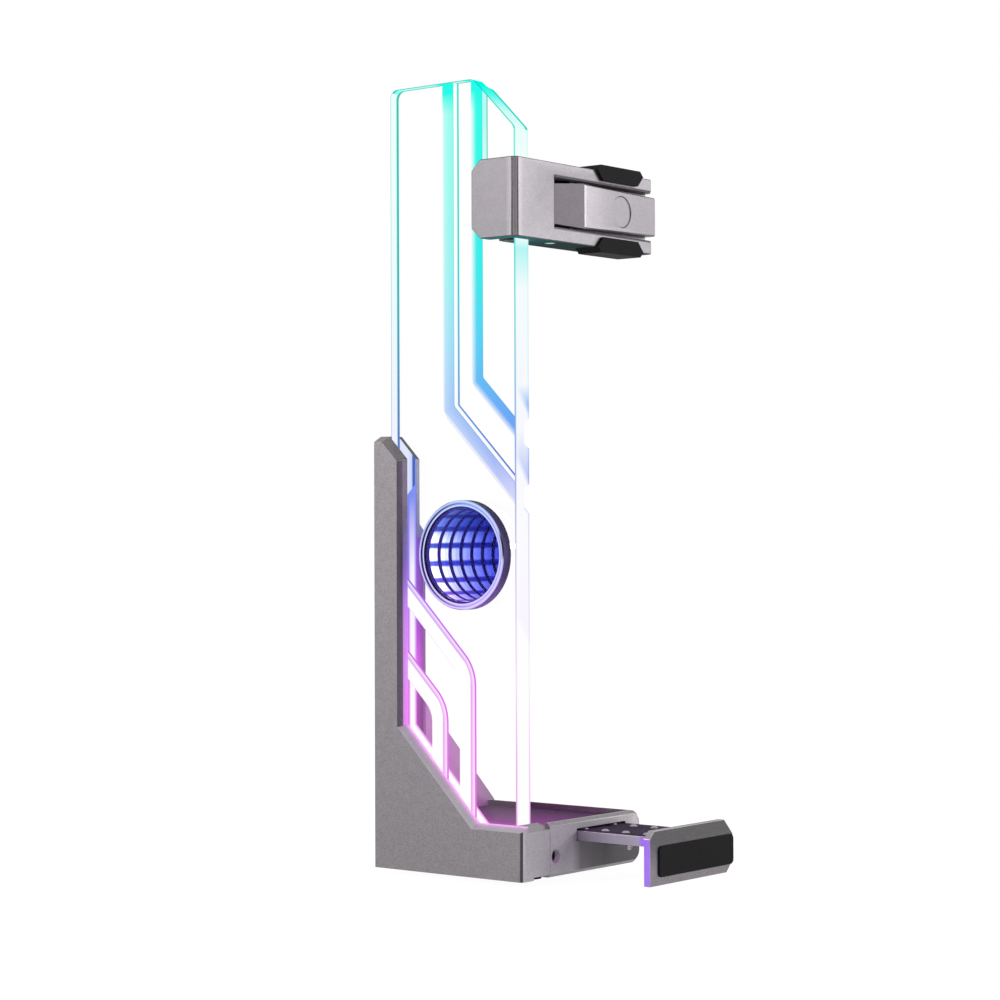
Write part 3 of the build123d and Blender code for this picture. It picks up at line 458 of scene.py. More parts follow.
def glowing_edge(name, widths, core, deep=1.0, wedges=(), shares=(None, None), crisp=3.0):
    """Edge light: colour at the corners, a pale core between them, over the run of lamp colours.

    The widths of the corner lines and their shares of strength by place are given as (front, back).
    The core's whiteness is a number or a function of place, and deep darkens the corner lines. A wedge
    is its lowest and highest place and its share.
    """
    made, output = new_material(name)
    _, (x, y, z) = place(made)
    distances = (maths(made, "SUBTRACT", x, sheet_front), maths(made, "SUBTRACT", sheet_back, x))
    lines = []
    for distance, width, share in zip(distances, widths, shares):
        drawn = line_along(made, distance, width, crisp)
        lines.append(maths(made, "MULTIPLY", drawn, share(made, x, y, z)) if share else drawn)
    hue = lamp_colour(made, z)
    whiteness = core(made, x, y, z) if callable(core) else core
    pale = blend_colours(made, whiteness, hue, white)
    strong = blend_colours(made, 1.0, hue, (deep, deep, deep), "MULTIPLY")
    for low, high, share in wedges:
        thrown = maths(made, "MULTIPLY", wedge(made, x, z, low, high), share)
        pale = blend_colours(made, thrown, pale, hue)
    glow = blend_colours(made, maths(made, "MAXIMUM", *lines), pale, strong)
    glow_all_over(made, output, glow)
    return made


print("wedges rise", round(wedge_rise * 1000, 1), "mm across the edge")

# %% [markdown]
# The near edge is the one that the camera sees best. The two upper channels run out through it, and each
# throws a wedge of colour down the edge, as the ring does faintly. On the top edge the channels show as
# two stretches of full colour with paler acrylic between them.

# %% The glowing edges and walls
near_core = by_place(
    "z",
    whole_height,
    (0.0, 0.99),
    (0.42, 0.985),
    (0.55, 0.92),
    (0.735, 0.90),
    (0.785, 0.45),
    (0.80, 0.90),
    (0.90, 0.88),
    (0.95, 0.78),
)
near_front = ((0.0, 0.85), (0.15, 0.70), (0.25, 0.30), (0.42, 0.50), (0.55, 0.85), (1.0, 0.95))
near_back = ((0.0, 0.75), (0.15, 0.50), (0.25, 0.12), (0.42, 0.30), (0.52, 0.45), (0.62, 0.20), (1.0, 0.15))
near_shares = [by_place("z", whole_height, *stops) for stops in (near_front, near_back)]
near_wedges = ((0.1172, 0.1245, 0.80), (0.0994, 0.1135, 0.55), (0.0600, 0.0960, 0.10))
near_glow = glowing_edge("near_glow", (0.0008, 0.0007), near_core, 0.85, near_wedges, near_shares, crisp=1.6)
far_glow = glowing_edge("far_glow", (0.0003, 0.0019), 0.84, 0.58)
top_run = (plate_high.y - 0.030, plate_high.y)
top_core = by_place(
    "y",
    top_run,
    (0.0, 0.0),
    (0.19, 0.05),
    (0.24, 0.50),
    (0.33, 0.45),
    (0.36, 0.0),
    (0.49, 0.0),
    (0.56, 0.42),
    (0.92, 0.48),
    (1.0, 0.1),
)
top_glow = glowing_edge("top_glow", (0.0018, 0.0016), top_core, 0.60)
slant_run = (0.187, 0.200)
slant_core = by_place("z", slant_run, (0.0, 0.80), (0.45, 0.62), (0.8, 0.10), (1.0, 0.0))
slant_glow = glowing_edge("slant_glow", (0.0008, 0.0012), slant_core, 0.70)
upper_wall_glow = glowing_edge("upper_wall_glow", (0.0001, 0.0008), 0.96, 0.75)
short_wall_run = (0.160, 0.192)
short_wall_core = by_place("z", short_wall_run, (0.0, 1.0), (1.0, 0.45))
short_wall_back = by_place("z", whole_height, (0.84, 0.0), (0.90, 0.8))
short_wall_glow = glowing_edge(
    "short_wall_glow", (0.0001, 0.0005), short_wall_core, 0.55, shares=(None, short_wall_back)
)
lower_wall_glow = glowing_edge("lower_wall_glow", (0.0050, 0.0008), 0.82)
print("materials so far", len(bpy.data.materials))

# %% [markdown]
# The floor of a channel is brightest away from its lit side and takes the lamps' colour beside it. A
# number stored on the face corners says how far across the channel a point lies, so the shade follows
# the bend without any drawing. Near the foot the lamps are so strong that the whole floor turns white.


# %% Channel floors
top_fade = (0.1940, 0.1995)
foot_fade = (0.085, 0.115)
border_share, border_dark = 0.20, (0.72, 0.72, 0.72)


def channel_floor(name, *stops):
    """Light of a channel's floor; the stops are its whiteness across the channel."""
    made, output = new_material(name)
    _, (x, y, z) = place(made)
    across = add(made, "Attribute", attribute_name="across").outputs["Fac"]
    fade = grey_run(made, across, 0.0, 1.0, *stops)
    fade = maths(made, "MULTIPLY", fade, grey_run(made, z, *top_fade, (0.0, 1.0), (1.0, 0.0)))
    white_share = maths(made, "MAXIMUM", fade, grey_run(made, z, *foot_fade, (0.0, 1.0), (1.0, 0.0)))
    hue = lamp_colour(made, z)
    border_hue = blend_colours(made, 1.0, hue, border_dark, "MULTIPLY")
    border = grey_run(made, across, 0.0, border_share, (0.0, 0.85), (0.75, 0.85), (1.0, 0.0))
    glow = blend_colours(made, white_share, hue, white)
    glow_all_over(made, output, blend_colours(made, border, glow, border_hue))
    return made


long_stops = ((0.0, 0.22), (0.45, 0.34), (0.72, 0.46), (0.82, 0.80), (0.95, 0.93))
long_floor_glow = channel_floor("long_floor_glow", *long_stops)
short_stops = ((0.0, 0.0), (0.55, 0.03), (0.72, 0.45), (0.88, 0.95))
short_floor_glow = channel_floor("short_floor_glow", *short_stops)
print("channel floors", long_floor_glow.name, short_floor_glow.name)

# %% [markdown]
# Where the sheet runs inside the housing its back face is lit from close by. From the camera, which
# looks into the sheet at a slant, that lit part peeps out as a band beside the housing's inner outline:
# white with magenta borders low down, saturated blue near the column's top, and above the lamps' own
# end a pale half and a deep blue half. The clear faces carry that glow only inside the outline.

# %% Clear faces, with the glow inside the housing
column_y = plate_high.y - 0.00545
slant_rise = -0.00032 - near_face
top_rise = 0.06768 - near_face
lamps_end = 0.1005
white_run = (0.030, 0.0975)
reach = 0.0026
skin = 0.0003
acrylic_index = 1.49

clear_faces, output = new_material("clear_faces")
_, (x, y, z) = place(clear_faces)
glass = add(
    clear_faces,
    "BsdfPrincipled",
    in_Base_Color=(1, 1, 1, 1),
    in_Roughness=0.0,
    in_IOR=acrylic_index,
    in_Transmission_Weight=1.0,
    in_Specular_Tint=(0.4, 0.4, 0.4, 1),
)


def below_slant(rise):
    """Distance below a line at 45 degrees that passes through height rise where y is 0."""
    drop = maths(clear_faces, "SUBTRACT", maths(clear_faces, "ADD", y, rise), z)
    return maths(clear_faces, "DIVIDE", drop, math.sqrt(2))


past_column = maths(clear_faces, "SUBTRACT", y, column_y)
in_column = maths(clear_faces, "MINIMUM", past_column, below_slant(top_rise))
inside = maths(clear_faces, "MAXIMUM", in_column, below_slant(slant_rise))
end_line = maths(clear_faces, "SUBTRACT", lamps_end, past_column)
below_end = maths(clear_faces, "LESS_THAN", z, end_line)
hue = lamp_colour(clear_faces, z)
vivid = blend_colours(clear_faces, 0.10, hue, white)
core_stops = ((0.00, 0.0), (0.14, 0.25), (0.30, 1.0), (0.78, 1.0), (0.95, 0.0))
core = grey_run(clear_faces, inside, 0.0, reach, *core_stops)
pale_core = grey_run(clear_faces, z, *white_run, (0.0, 1.0), (0.72, 0.85), (1.0, 0.0))
low_glow = blend_colours(clear_faces, maths(clear_faces, "MULTIPLY", core, pale_core), vivid, white)
high_stops = [
    (0.0, (0.33, 0.42, 0.80)),
    (0.18, (0.05, 0.10, 0.50)),
    (0.42, (0.04, 0.12, 0.52)),
    (0.55, (0.58, 0.66, 1.0)),
    (1.0, (0.75, 0.80, 1.0)),
]
high_glow = ramp(clear_faces, past_column, high_stops, 0.0, reach)
light = add(clear_faces, "Emission", in_Strength=1.0)
join(clear_faces, blend_colours(clear_faces, below_end, high_glow, low_glow), light.inputs[0])
on_back = maths(clear_faces, "GREATER_THAN", x, sheet_back - skin)
lit = maths(clear_faces, "MULTIPLY", on_back, maths(clear_faces, "GREATER_THAN", inside, 0.0))
join(clear_faces, mix_shaders(clear_faces, lit, glass.outputs[0], light.outputs[0]), output.inputs[0])
print("lit band", round(reach * 1000, 1), "mm wide")

# %% [markdown]
# Inside the column's cover the lamps' light floods the metal wall, violet above and magenta below.
# That light is painted on the wall as a glow, weaker towards the near side.

# %% The cover's lit inner wall
lit_wall, output = new_material("lit_wall")
_, (x, y, z) = place(lit_wall)
flood_run = (0.010, 0.105)
flood_stops = [
    (0.0, (0.26, 0.06, 0.26)),
    (0.36, (0.46, 0.08, 0.50)),
    (0.47, (0.85, 0.12, 0.98)),
    (0.62, (0.36, 0.06, 0.72)),
    (1.0, (0.12, 0.12, 0.62)),
]
shaded_run = (near_face + 0.0388, near_face + 0.0425)
near_side = grey_run(lit_wall, y, *shaded_run, (0.0, 0.35), (1.0, 1.0))
flood = blend_colours(lit_wall, 1.0, ramp(lit_wall, z, flood_stops, *flood_run), near_side, "MULTIPLY")
surface = add(
    lit_wall,
    "BsdfPrincipled",
    in_Base_Color=(0.03, 0.02, 0.03, 1),
    in_Metallic=0.4,
    in_Roughness=0.5,
    in_Emission_Strength=1.1,
)
join(lit_wall, flood, surface.inputs["Emission Color"])
join(lit_wall, surface.outputs[0], output.inputs[0])
print("flooded wall", [round(v * 1000) for v in flood_run], "mm up")

# %% [markdown]
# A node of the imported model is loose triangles. A copy with its doubles merged and its flat faces joined
# can take a narrow bevel, which gives machined metal the bright line it has along each edge. The copy
# stands for the node, and rides on the same body. Its materials are a list, where the second one is the
# metal of the bevels.


# %% A merged copy of a node
def merged_mesh(node, join_flat=True):
    """bmesh of one node with doubles merged and, unless told otherwise, flat faces joined."""
    work = bmesh.new()
    work.from_mesh(nodes[node].data)
    bmesh.ops.remove_doubles(work, verts=work.verts, dist=1e-6)
    if join_flat:
        flat = math.radians(0.5)
        bmesh.ops.dissolve_limit(work, angle_limit=flat, verts=work.verts, edges=work.edges)
    return work


def object_from(work, name, materials):
    """Object made of a bmesh, with its materials in order."""
    mesh = bpy.data.meshes.new(name)
    work.to_mesh(mesh)
    work.free()
    for material in materials:
        mesh.materials.append(material)
    made = bpy.data.objects.new(name, mesh)
    bpy.context.scene.collection.objects.link(made)
    return made


def piece_from(work, name, body, materials):
    """Object made of a bmesh, riding on a body."""
    made = object_from(work, name, materials)
    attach(made, body)
    return made


def smooth(made, sharp=30):
    """Smooth shading, except along edges sharper than an angle in degrees."""
    made.data.shade_smooth()
    made.data.set_sharp_from_angle(angle=math.radians(sharp))


def paint(work, materials, chosen):
    """Gives each face the material that chosen picks for it."""
    for face in work.faces:
        face.material_index = materials.index(chosen(face))


def edged(node, name, body, materials, chosen, sharp=30, width=0.00028):
    """Copy of a node with narrow bevels; chosen gives the material of a face."""
    work = merged_mesh(node)
    paint(work, materials, chosen)
    made = piece_from(work, name, body, materials)
    smooth(made, sharp)
    bevel = made.modifiers.new("edge", "BEVEL")
    bevel.width = width
    bevel.segments = 2
    bevel.limit_method = "ANGLE"
    bevel.angle_limit = math.radians(sharp)
    bevel.material = 1
    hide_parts(node)
    print(name, len(made.data.polygons), "faces")
    return made


# %% [markdown]
# Each face takes its metal by the way that it faces. The housing's rim slopes towards the light and is
# painted paler than the wall as a highlight, while its upright stretch along the column faces the dark
# side of the room and takes a painted shade. Its near corner is rounded, and shows a painted dark
# reflection and a painted light band. The side of the column's cover that lies on the sheet is the wall
# that the lamps flood, in a painted glow. The cover's slanted top takes a painted shade, and the holes
# in front a painted highlight. The named shares say how much of a face's normal points along an axis.


# %% Faces of the housing, its cover and the tray
straight, diagonal, leaning, tilted = 0.9, 0.5, 0.3, 0.1
rim_lean, corner_lean = 0.2, 0.55
touching = 0.0005
hole_height, hole_reach = 0.0070, 0.0018
hole_end = plate_low.y + 0.002
tray_middle, hole_spacing = 0.0005, 0.0316
front_holes = (tray_middle - hole_spacing / 2, tray_middle + hole_spacing / 2)
column_start = 0.09
slope_end = 0.03


def in_front_hole(face):
    """Whether a face is the wall of one of the two holes in front."""
    middle = face.calc_center_median()
    if abs(face.normal.y) > leaning or middle.y > hole_end:
        return False
    return any(math.hypot(middle.x - hole, middle.z - hole_height) < hole_reach for hole in front_holes)


def at_near_end(face):
    """Whether a face lies in the plane of the housing's near end."""
    return face.normal.y < -straight and face.calc_center_median().y < near_face + touching


def housing_face(face):
    n = face.normal
    high = face.calc_center_median().z
    if in_front_hole(face):
        return hole_wall
    if high > column_start and n.z > leaning:
        return column_top
    if not -straight < n.x < -rim_lean:
        return front_metal if at_near_end(face) else frame_metal
    if abs(n.z) > tilted:
        return frame_rim
    if high > slope_end:
        return frame_shade
    return corner_dark if n.x < -corner_lean else corner_light


def cover_face(face):
    n = face.normal
    if n.x < -straight:
        return lit_wall
    if n.y < -straight:
        return cover_edge
    return cover_top if n.y < -leaning and n.z > leaning else frame_metal


def tray_face(face):
    if in_front_hole(face):
        return hole_wall
    if face.normal.y > -straight:
        return frame_metal
    return front_metal if at_near_end(face) else gusset_metal


housing_metals = [frame_metal, frame_edge, frame_rim, frame_shade, corner_dark, corner_light, front_metal]
housing_metals += [hole_wall, column_top]
edged("left_shell", "housing", "stand", housing_metals, housing_face, width=0.0004)
cover_metals = [frame_metal, cover_edge, lit_wall, cover_edge, cover_top]
edged("right_shell", "column_cover", "stand", cover_metals, cover_face)
# The tray's bevels take a duller painted highlight.
tray_metals = [frame_metal, edge_highlight, front_metal, gusset_metal, hole_wall]
edged("base_tray", "tray", "stand", tray_metals, tray_face)

# %% [markdown]
# The arm is forked, and the lever lies between its jaws. The arm's near corner is cut off, and that
# narrow face has a painted highlight only along its two borders. The arm's bevelled edges take a
# painted dark line, and the lever's facet a painted shade. Underneath, the arm and its sloping start
# are lit by the sheet alone: a painted shade with a painted glow of the sheet's light.


# %% Faces of the arm and its lever
facet_lean = 0.8
arm_bottom = arm_low.z + 0.001


def arm_face(face):
    n = face.normal
    if n.x < -diagonal and n.y < -diagonal:
        return arm_corner
    if n.x < -straight:
        return arm_side
    if n.z < -diagonal and n.x < -leaning:
        return arm_under
    underside = n.z < -straight and face.calc_center_median().z < arm_bottom
    return arm_under if underside else arm_metal


def lever_face(face):
    return lever_facet if face.normal.y < -facet_lean and face.normal.x < -tilted else lever_metal


arm_metals = [arm_metal, arm_shade, arm_corner, arm_side, arm_under]
edged("arm_body", "arm", "arm", arm_metals, arm_face)
lever_metals = [lever_metal, arm_edge, lever_facet]
edged("clamp_lever", "flip_lever", "lever", lever_metals, lever_face, sharp=9, width=0.0004)

# %% [markdown]
# On the foot the plate's top has a painted dark shade, and the bumps on it a painted highlight. The
# hooked end has a broad face to the front, with a painted shade towards its top, and a narrow edge to
# the side with the lamps' violet light painted on.

# %% Faces of the foot
foot_top = 0.0125
same_height = 0.0001
bump_lean = 0.2


def foot_face(face):
    n = face.normal
    middle = face.calc_center_median()
    if n.x < -straight:
        return foot_side
    if n.y < -straight and middle.y < foot_low.y + same_height:
        return hook_metal
    if n.z > straight and abs(middle.z - foot_top) < same_height:
        return slide_metal
    # The bumps take a painted highlight.
    on_bump = n.z > bump_lean and foot_top < middle.z < foot_top + touching
    return edge_highlight if on_bump else frame_metal


foot_metals = [frame_metal, edge_highlight, slide_metal, hook_metal, foot_side]
edged("foot_slide", "sliding_foot", "foot", foot_metals, foot_face)

# %% [markdown]
# The acrylic sheet gets its materials by where each face lies: the two big faces are clear, the floors
# of the channels are the flat faces between them, and the rest are channel walls or one of the edges,
# each lit in its own way. The hole for the ring stays clear. The triangles stay as they are, because a
# single face round a hole can be filled wrongly, and clear glass shows that.

# %% Where the channels and the ring lie
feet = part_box("rubber_feet")[1].z
channel_width = 0.0053
upper_bends = [(0.01745, 0.1173), (0.02685, 0.1242)]
lower_bends = [(0.02255, 0.0507), (0.01345, 0.0412)]
paths = [(plate_high.y - inset, feet + rise, max) for inset, rise in upper_bends]
paths += [(plate_high.y - inset, feet + rise, min) for inset, rise in lower_bends]
upper_long, upper_short = paths[:2]
ring_low, ring_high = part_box("ring_tube")
ring_middle = (ring_low + ring_high) / 2
ring_radius = (ring_high.y - ring_low.y) / 2


def off_path(point, bend_y, bend_z, pick):
    """Distance from a channel's middle line, negative on its lit side.

    A channel has an upright run and one at 45 degrees. The larger of the two distances follows an upper
    channel round its bend, and the smaller one a lower channel, which is what pick chooses.
    """
    upright = point.y - bend_y
    slanted = ((point.y - bend_y) - (point.z - bend_z)) / math.sqrt(2)
    return pick(upright, slanted)


print("channels", len(paths), "ring", round(ring_radius * 2000, 1), "mm wide")

# %% [markdown]
# Now every face can be sorted. An edge lies close to the sheet's outline, a wall leans into a channel,
# and a floor is flat but lies below both big faces.

# %% The acrylic sheet
outline_reach = 0.0022
cut_start = 0.185
upper_start = 0.10
flat, sideways, upward_lean = 0.95, 0.05, 0.7
work = merged_mesh("light_plate", join_flat=False)
across = work.loops.layers.float.new("across")


def edge_of(face):
    """Material of an edge or a wall by the way that it faces."""
    middle = face.calc_center_median()
    n = face.normal
    if (middle.yz - ring_middle.yz).length < ring_radius + touching:
        return clear_faces
    gaps = (middle.y - plate_low.y, plate_high.y - middle.y, plate_high.z - middle.z, middle.z - plate_low.z)
    corner_cut = n.y < -leaning and n.z > leaning and middle.z > cut_start
    if abs(n.x) < sideways and (min(gaps) < outline_reach or corner_cut):
        if corner_cut:
            return slant_glow
        if n.z > upward_lean:
            return top_glow
        return near_glow if n.y < 0 else far_glow
    if middle.z < upper_start:
        return lower_wall_glow
    short = abs(off_path(middle, *upper_short)) < abs(off_path(middle, *upper_long))
    return short_wall_glow if short else upper_wall_glow


def sheet_face(face):
    """Material of any face of the sheet; a floor also learns how far across its channel it lies."""
    middle = face.calc_center_median()
    if abs(face.normal.x) <= flat:
        return edge_of(face)
    if min(middle.x - sheet_front, sheet_back - middle.x) < skin:
        return clear_faces
    for loop in face.loops:
        offs = [off_path(loop.vert.co, *path) for path in paths]
        nearest = min(offs, key=abs)
        loop[across] = min(1, max(0, nearest / channel_width + 0.5))
    return short_floor_glow if paths[offs.index(nearest)] == upper_short else long_floor_glow


acrylics = [clear_faces, near_glow, far_glow, top_glow, slant_glow, long_floor_glow, upper_wall_glow]
acrylics += [lower_wall_glow, short_floor_glow, short_wall_glow]
paint(work, acrylics, sheet_face)
acrylic = piece_from(work, "acrylic_sheet", "stand", acrylics)
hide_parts("light_plate")
print("acrylic faces", len(acrylic.data.polygons))

# %% [markdown]
# The ring is a small infinity mirror. Lamps sit on a band between a full mirror behind and a half mirror
# in front, and their light is reflected to and fro so that the ring looks like a deep tunnel. The half
# mirror lets a ray in from outside and sends it back from inside, so each trip across the gap draws one
# more ring of lamps, a little darker than the last.

# %% The ring's two mirrors
def silvering(material):
    """Shader of a smooth mirror that keeps most of the blue, and three quarters of red and green."""
    return add(material, "BsdfAnisotropic", in_Roughness=0.0, in_Color=(0.74, 0.76, 0.91, 1)).outputs[0]


rear_mirror, output = new_material("rear_mirror")
join(rear_mirror, silvering(rear_mirror), output.inputs[0])

half_mirror, output = new_material("half_mirror")
from_outside = add(half_mirror, "NewGeometry").outputs["Backfacing"]
through = add(half_mirror, "BsdfTransparent").outputs[0]
join(half_mirror, mix_shaders(half_mirror, from_outside, silvering(half_mirror), through), output.inputs[0])

clear_front, output = new_material("clear_front")
through = add(clear_front, "BsdfTransparent").outputs[0]
gloss = add(clear_front, "BsdfAnisotropic", in_Roughness=0.02).outputs[0]
slanted_view = add(clear_front, "Fresnel", in_IOR=1.45).outputs[0]
weak = maths(clear_front, "MULTIPLY", slanted_view, 0.35)
join(clear_front, mix_shaders(clear_front, weak, through, gloss), output.inputs[0])
print("mirrors", rear_mirror.name, half_mirror.name, clear_front.name)

# %% [markdown]
# The half mirror is one disc. Its front face is plain clear glass, and its back face carries the
# silvering, so the disc gets a material for each, and its rim the dark plastic of the tube.

# %% The half mirror's disc
dark_plastic, output = new_material("dark_plastic")
surface = add(dark_plastic, "BsdfPrincipled", in_Base_Color=(0.035, 0.02, 0.09, 1), in_Roughness=0.25)
join(dark_plastic, surface.outputs[0], output.inputs[0])


def disc_face(face):
    if face.normal.x < -straight:
        return clear_front
    return half_mirror if face.normal.x > straight else dark_plastic


lens_low, lens_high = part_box("ring_half_mirror")
disc_materials = [clear_front, half_mirror, dark_plastic]
work = merged_mesh("ring_half_mirror")
paint(work, disc_materials, disc_face)
disc = piece_from(work, "half_mirror_disc", "stand", disc_materials)
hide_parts("ring_half_mirror")
print("disc", round((lens_high.y - lens_low.y) * 1000, 1), "mm wide")

# %% [markdown]
# The lamps on the band are bright patches with blue light between them, and the strip next to the half
# mirror stays dark. The angle round the ring's axis and the place along it give the pattern.

# %% The band of lamps
lamps_round = 16
dark_strip = 0.0007
band_reach = 0.0122
band_light = 2.3
strip_colour = (0.016, 0.010, 0.11)


def from_axis(material, y, z):
    """Sideways and upward distance from the ring's axis."""
    return maths(material, "SUBTRACT", y, ring_middle.y), maths(material, "SUBTRACT", z, ring_middle.z)


lamp_band, output = new_material("lamp_band")
_, (x, y, z) = place(lamp_band)
side, rise = from_axis(lamp_band, y, z)
angle = maths(lamp_band, "ARCTAN2", rise, side)
wave = maths(lamp_band, "COSINE", maths(lamp_band, "MULTIPLY", angle, lamps_round))
spot = grey_run(lamp_band, wave, -1.0, 1.0, (0.10, 0.0), (0.42, 1.0))
depth = maths(lamp_band, "SUBTRACT", x, lens_high.x)
lit = maths(lamp_band, "GREATER_THAN", depth, dark_strip)
between_stops = [(0.0, (0.12, 0.05, 0.36)), (0.45, (0.05, 0.07, 0.42)), (1.0, (0.006, 0.012, 0.08))]
between = ramp(lamp_band, rise, between_stops, -band_reach, band_reach)
lamp_stops = [
    (0.0, (0.24, 0.14, 0.55)),
    (0.30, (0.95, 0.92, 1.0)),
    (0.62, (0.85, 0.90, 1.0)),
    (0.78, (0.08, 0.12, 0.42)),
    (1.0, (0.02, 0.04, 0.16)),
]
patch = blend_colours(lamp_band, spot, between, ramp(lamp_band, rise, lamp_stops, -band_reach, band_reach))
glow_all_over(lamp_band, output, blend_colours(lamp_band, lit, strip_colour, patch), band_light)
print("lamps round the ring", lamps_round)

# %% [markdown]
# The ring's collar is plated in front, and there its colour is a painted reflection of the violet light,
# violet low down and bluer higher up, crossed by painted bright lines. Along its side it is dark, with
# painted violet lamp light low down. The front of the tube inside it makes a second painted bright line.

# %% Collar and tube
ring_height = (0.068, 0.096)
lip = (0.01225, 0.01375)

ring_chrome, output = new_material("ring_chrome")
_, (x, y, z) = place(ring_chrome)
# Painted reflection of the lamps' light on the plated front: violet low down, bluer higher up.
chrome_stops = [(0.0, (0.55, 0.38, 0.95)), (0.5, (0.34, 0.34, 0.90)), (1.0, (0.22, 0.38, 0.85))]
side, rise = from_axis(ring_chrome, y, z)
squares = [maths(ring_chrome, "MULTIPLY", way, way) for way in (side, rise)]
radius = maths(ring_chrome, "SQRT", maths(ring_chrome, "ADD", *squares))
# Painted highlights: two bright lines across the lip.
inner_line = ((0.00, 0.35), (0.14, 0.70), (0.24, 0.10), (0.52, 0.00))
outer_line = ((0.66, 0.30), (0.78, 0.75), (0.90, 0.30), (1.00, 0.05))
lines = grey_run(ring_chrome, radius, *lip, *inner_line, *outer_line)
tint = ramp(ring_chrome, z, chrome_stops, *ring_height)
gleam = blend_colours(ring_chrome, lines, tint, (0.88, 0.87, 1.0))
surface = add(ring_chrome, "BsdfPrincipled", in_Metallic=1.0, in_Roughness=0.2)
join(ring_chrome, gleam, surface.inputs["Base Color"])
join(ring_chrome, surface.outputs[0], output.inputs[0])

ring_side, output = new_material("ring_side")
_, (x, y, z) = place(ring_side)
# Painted violet lamp light low on the collar's side, fading into its dark colour above.
side_stops = [(0.0, (0.30, 0.14, 0.60)), (0.35, (0.07, 0.04, 0.16)), (1.0, (0.035, 0.03, 0.09))]
surface = add(ring_side, "BsdfPrincipled", in_Roughness=0.6, in_Specular_IOR_Level=0.2)
join(ring_side, ramp(ring_side, z, side_stops, *ring_height), surface.inputs["Base Color"])
join(ring_side, surface.outputs[0], output.inputs[0])

for node, name, inner, slot in (
    ("ring_bezel", "ring_collar", ring_side, "bezel_chrome"),
    ("ring_tube", "ring_sleeve", dark_plastic, "ring_plastic"),
):
    work = merged_mesh(node)
    paint(work, [ring_chrome, inner], lambda face: ring_chrome if face.normal.x < -diagonal else inner)
    made = piece_from(work, name, "stand", [ring_chrome, inner])
    smooth(made)
    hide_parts(node)
    print(name, len(made.data.polygons), "faces")

# %% [markdown]
# The rubber of the pads is matt black with a faint moulded grain, and the steel of the pin and the
# screws is plain.


# %% Rubber, plastic and steel
def grained(name, colour, roughness, grain=1500, depth=0.00003):
    """Moulded rubber or plastic with a fine grain."""
    made, output = new_material(name)
    where, _ = place(made)
    noise = add(made, "TexNoise", in_Scale=grain, in_Detail=2.0)
    join(made, where, noise.inputs["Vector"])
    dark, light = (tuple(c * share for c in colour) for share in (0.8, 1.2))
    tone = ramp(made, noise.outputs[0], [(0.35, dark), (0.65, light)])
    surface = add(made, "BsdfPrincipled", in_Roughness=roughness, in_Specular_IOR_Level=0.10)
    join(made, tone, surface.inputs["Base Color"])
    bump = add(made, "Bump", in_Strength=0.4, in_Distance=depth)
    join(made, noise.outputs[0], bump.inputs["Height"])
    join(made, bump.outputs[0], surface.inputs["Normal"])
    join(made, surface.outputs[0], output.inputs[0])
    return made


black_rubber = grained("black_rubber", (0.007, 0.006, 0.007), 0.7)
liner_plastic = grained("liner_plastic", (0.05, 0.05, 0.055), 0.5)
rail_plastic = grained("rail_plastic", (0.06, 0.06, 0.065), 0.45)
pin_end = arm_low.z + 0.002


def steel(name, colour, roughness, under=None):
    """Plain steel; under is the lamps' light painted on its end below the arm."""
    made, output = new_material(name)
    where, (x, y, z) = place(made)
    noise = add(made, "TexNoise", in_Scale=900, in_Detail=4.0)
    join(made, where, noise.inputs["Vector"])
    worn = grey_run(made, noise.outputs[0], 0.0, 1.0, (0.3, roughness * 0.7), (0.7, roughness * 1.3))
    surface = add(made, "BsdfPrincipled", in_Base_Color=(*colour, 1), in_Metallic=1.0)
    if under:
        low_end = maths(made, "LESS_THAN", z, pin_end)
        join(made, blend_colours(made, low_end, colour, under), surface.inputs["Base Color"])
    join(made, worn, surface.inputs["Roughness"])
    join(made, surface.outputs[0], output.inputs[0])
    return made


pin_steel = steel("pin_steel", (0.6, 0.6, 0.62), 0.25, under=(0.05, 0.55, 0.42))
screw_steel = steel("screw_steel", (0.05, 0.05, 0.055), 0.35)
spring_steel = steel("spring_steel", (0.5, 0.5, 0.5), 0.3)
print("rubber, plastic and steel", len(bpy.data.materials), "materials so far")

# %% [markdown]
# Behind the acrylic, strips of lamps shine through milky covers. They are seen only through the sheet
# and past the column's cover, as a soft light that follows the same run of colours.


# %% Milky strips and lamp boards
def soft_light(name, share_white, strength):
    """Light in the lamps' colours with a share of white in it."""
    made, output = new_material(name)
    _, (x, y, z) = place(made)
    glow_all_over(made, output, blend_colours(made, share_white, lamp_colour(made, z), white), strength)
    return made


milky_plastic = soft_light("milky_plastic", 0.45, 1.0)
light_board = soft_light("light_board", 0.6, 1.0)
print("strips", milky_plastic.name, light_board.name)

# %% [markdown]
# The nodes that keep their own shape only need their material. Each is put in the first slot.

# %% Materials for the nodes that stay
for material, names in (
    (deck_metal, ["deck_cover"]),
    (rail_plastic, ["slide_rail_left", "slide_rail_right"]),
    (spring_steel, ["slide_spring"]),
    (light_board, ["column_light_strip", "base_light_strip"]),
    (milky_plastic, ["column_diffuser", "channel_diffuser", "base_diffuser"]),
    (dark_plastic, ["ring_cap"]),
    (lamp_band, ["ring_lamp_band"]),
    (rear_mirror, ["ring_rear_mirror"]),
    (black_rubber, ["rubber_feet", "cable_grommet", "arm_pad_top", "arm_pad_bottom", "foot_pad"]),
    (screw_steel, ["tray_screws", "deck_screws", "cover_screw", "gusset_screws"]),
    (liner_plastic, ["arm_liner", "clamp_shoe"]),
    (pin_steel, ["lever_pin"]),
):
    for name in names:
        nodes[name].data.materials.clear()
        nodes[name].data.materials.append(material)
    print(material.name, len(names), "pieces")

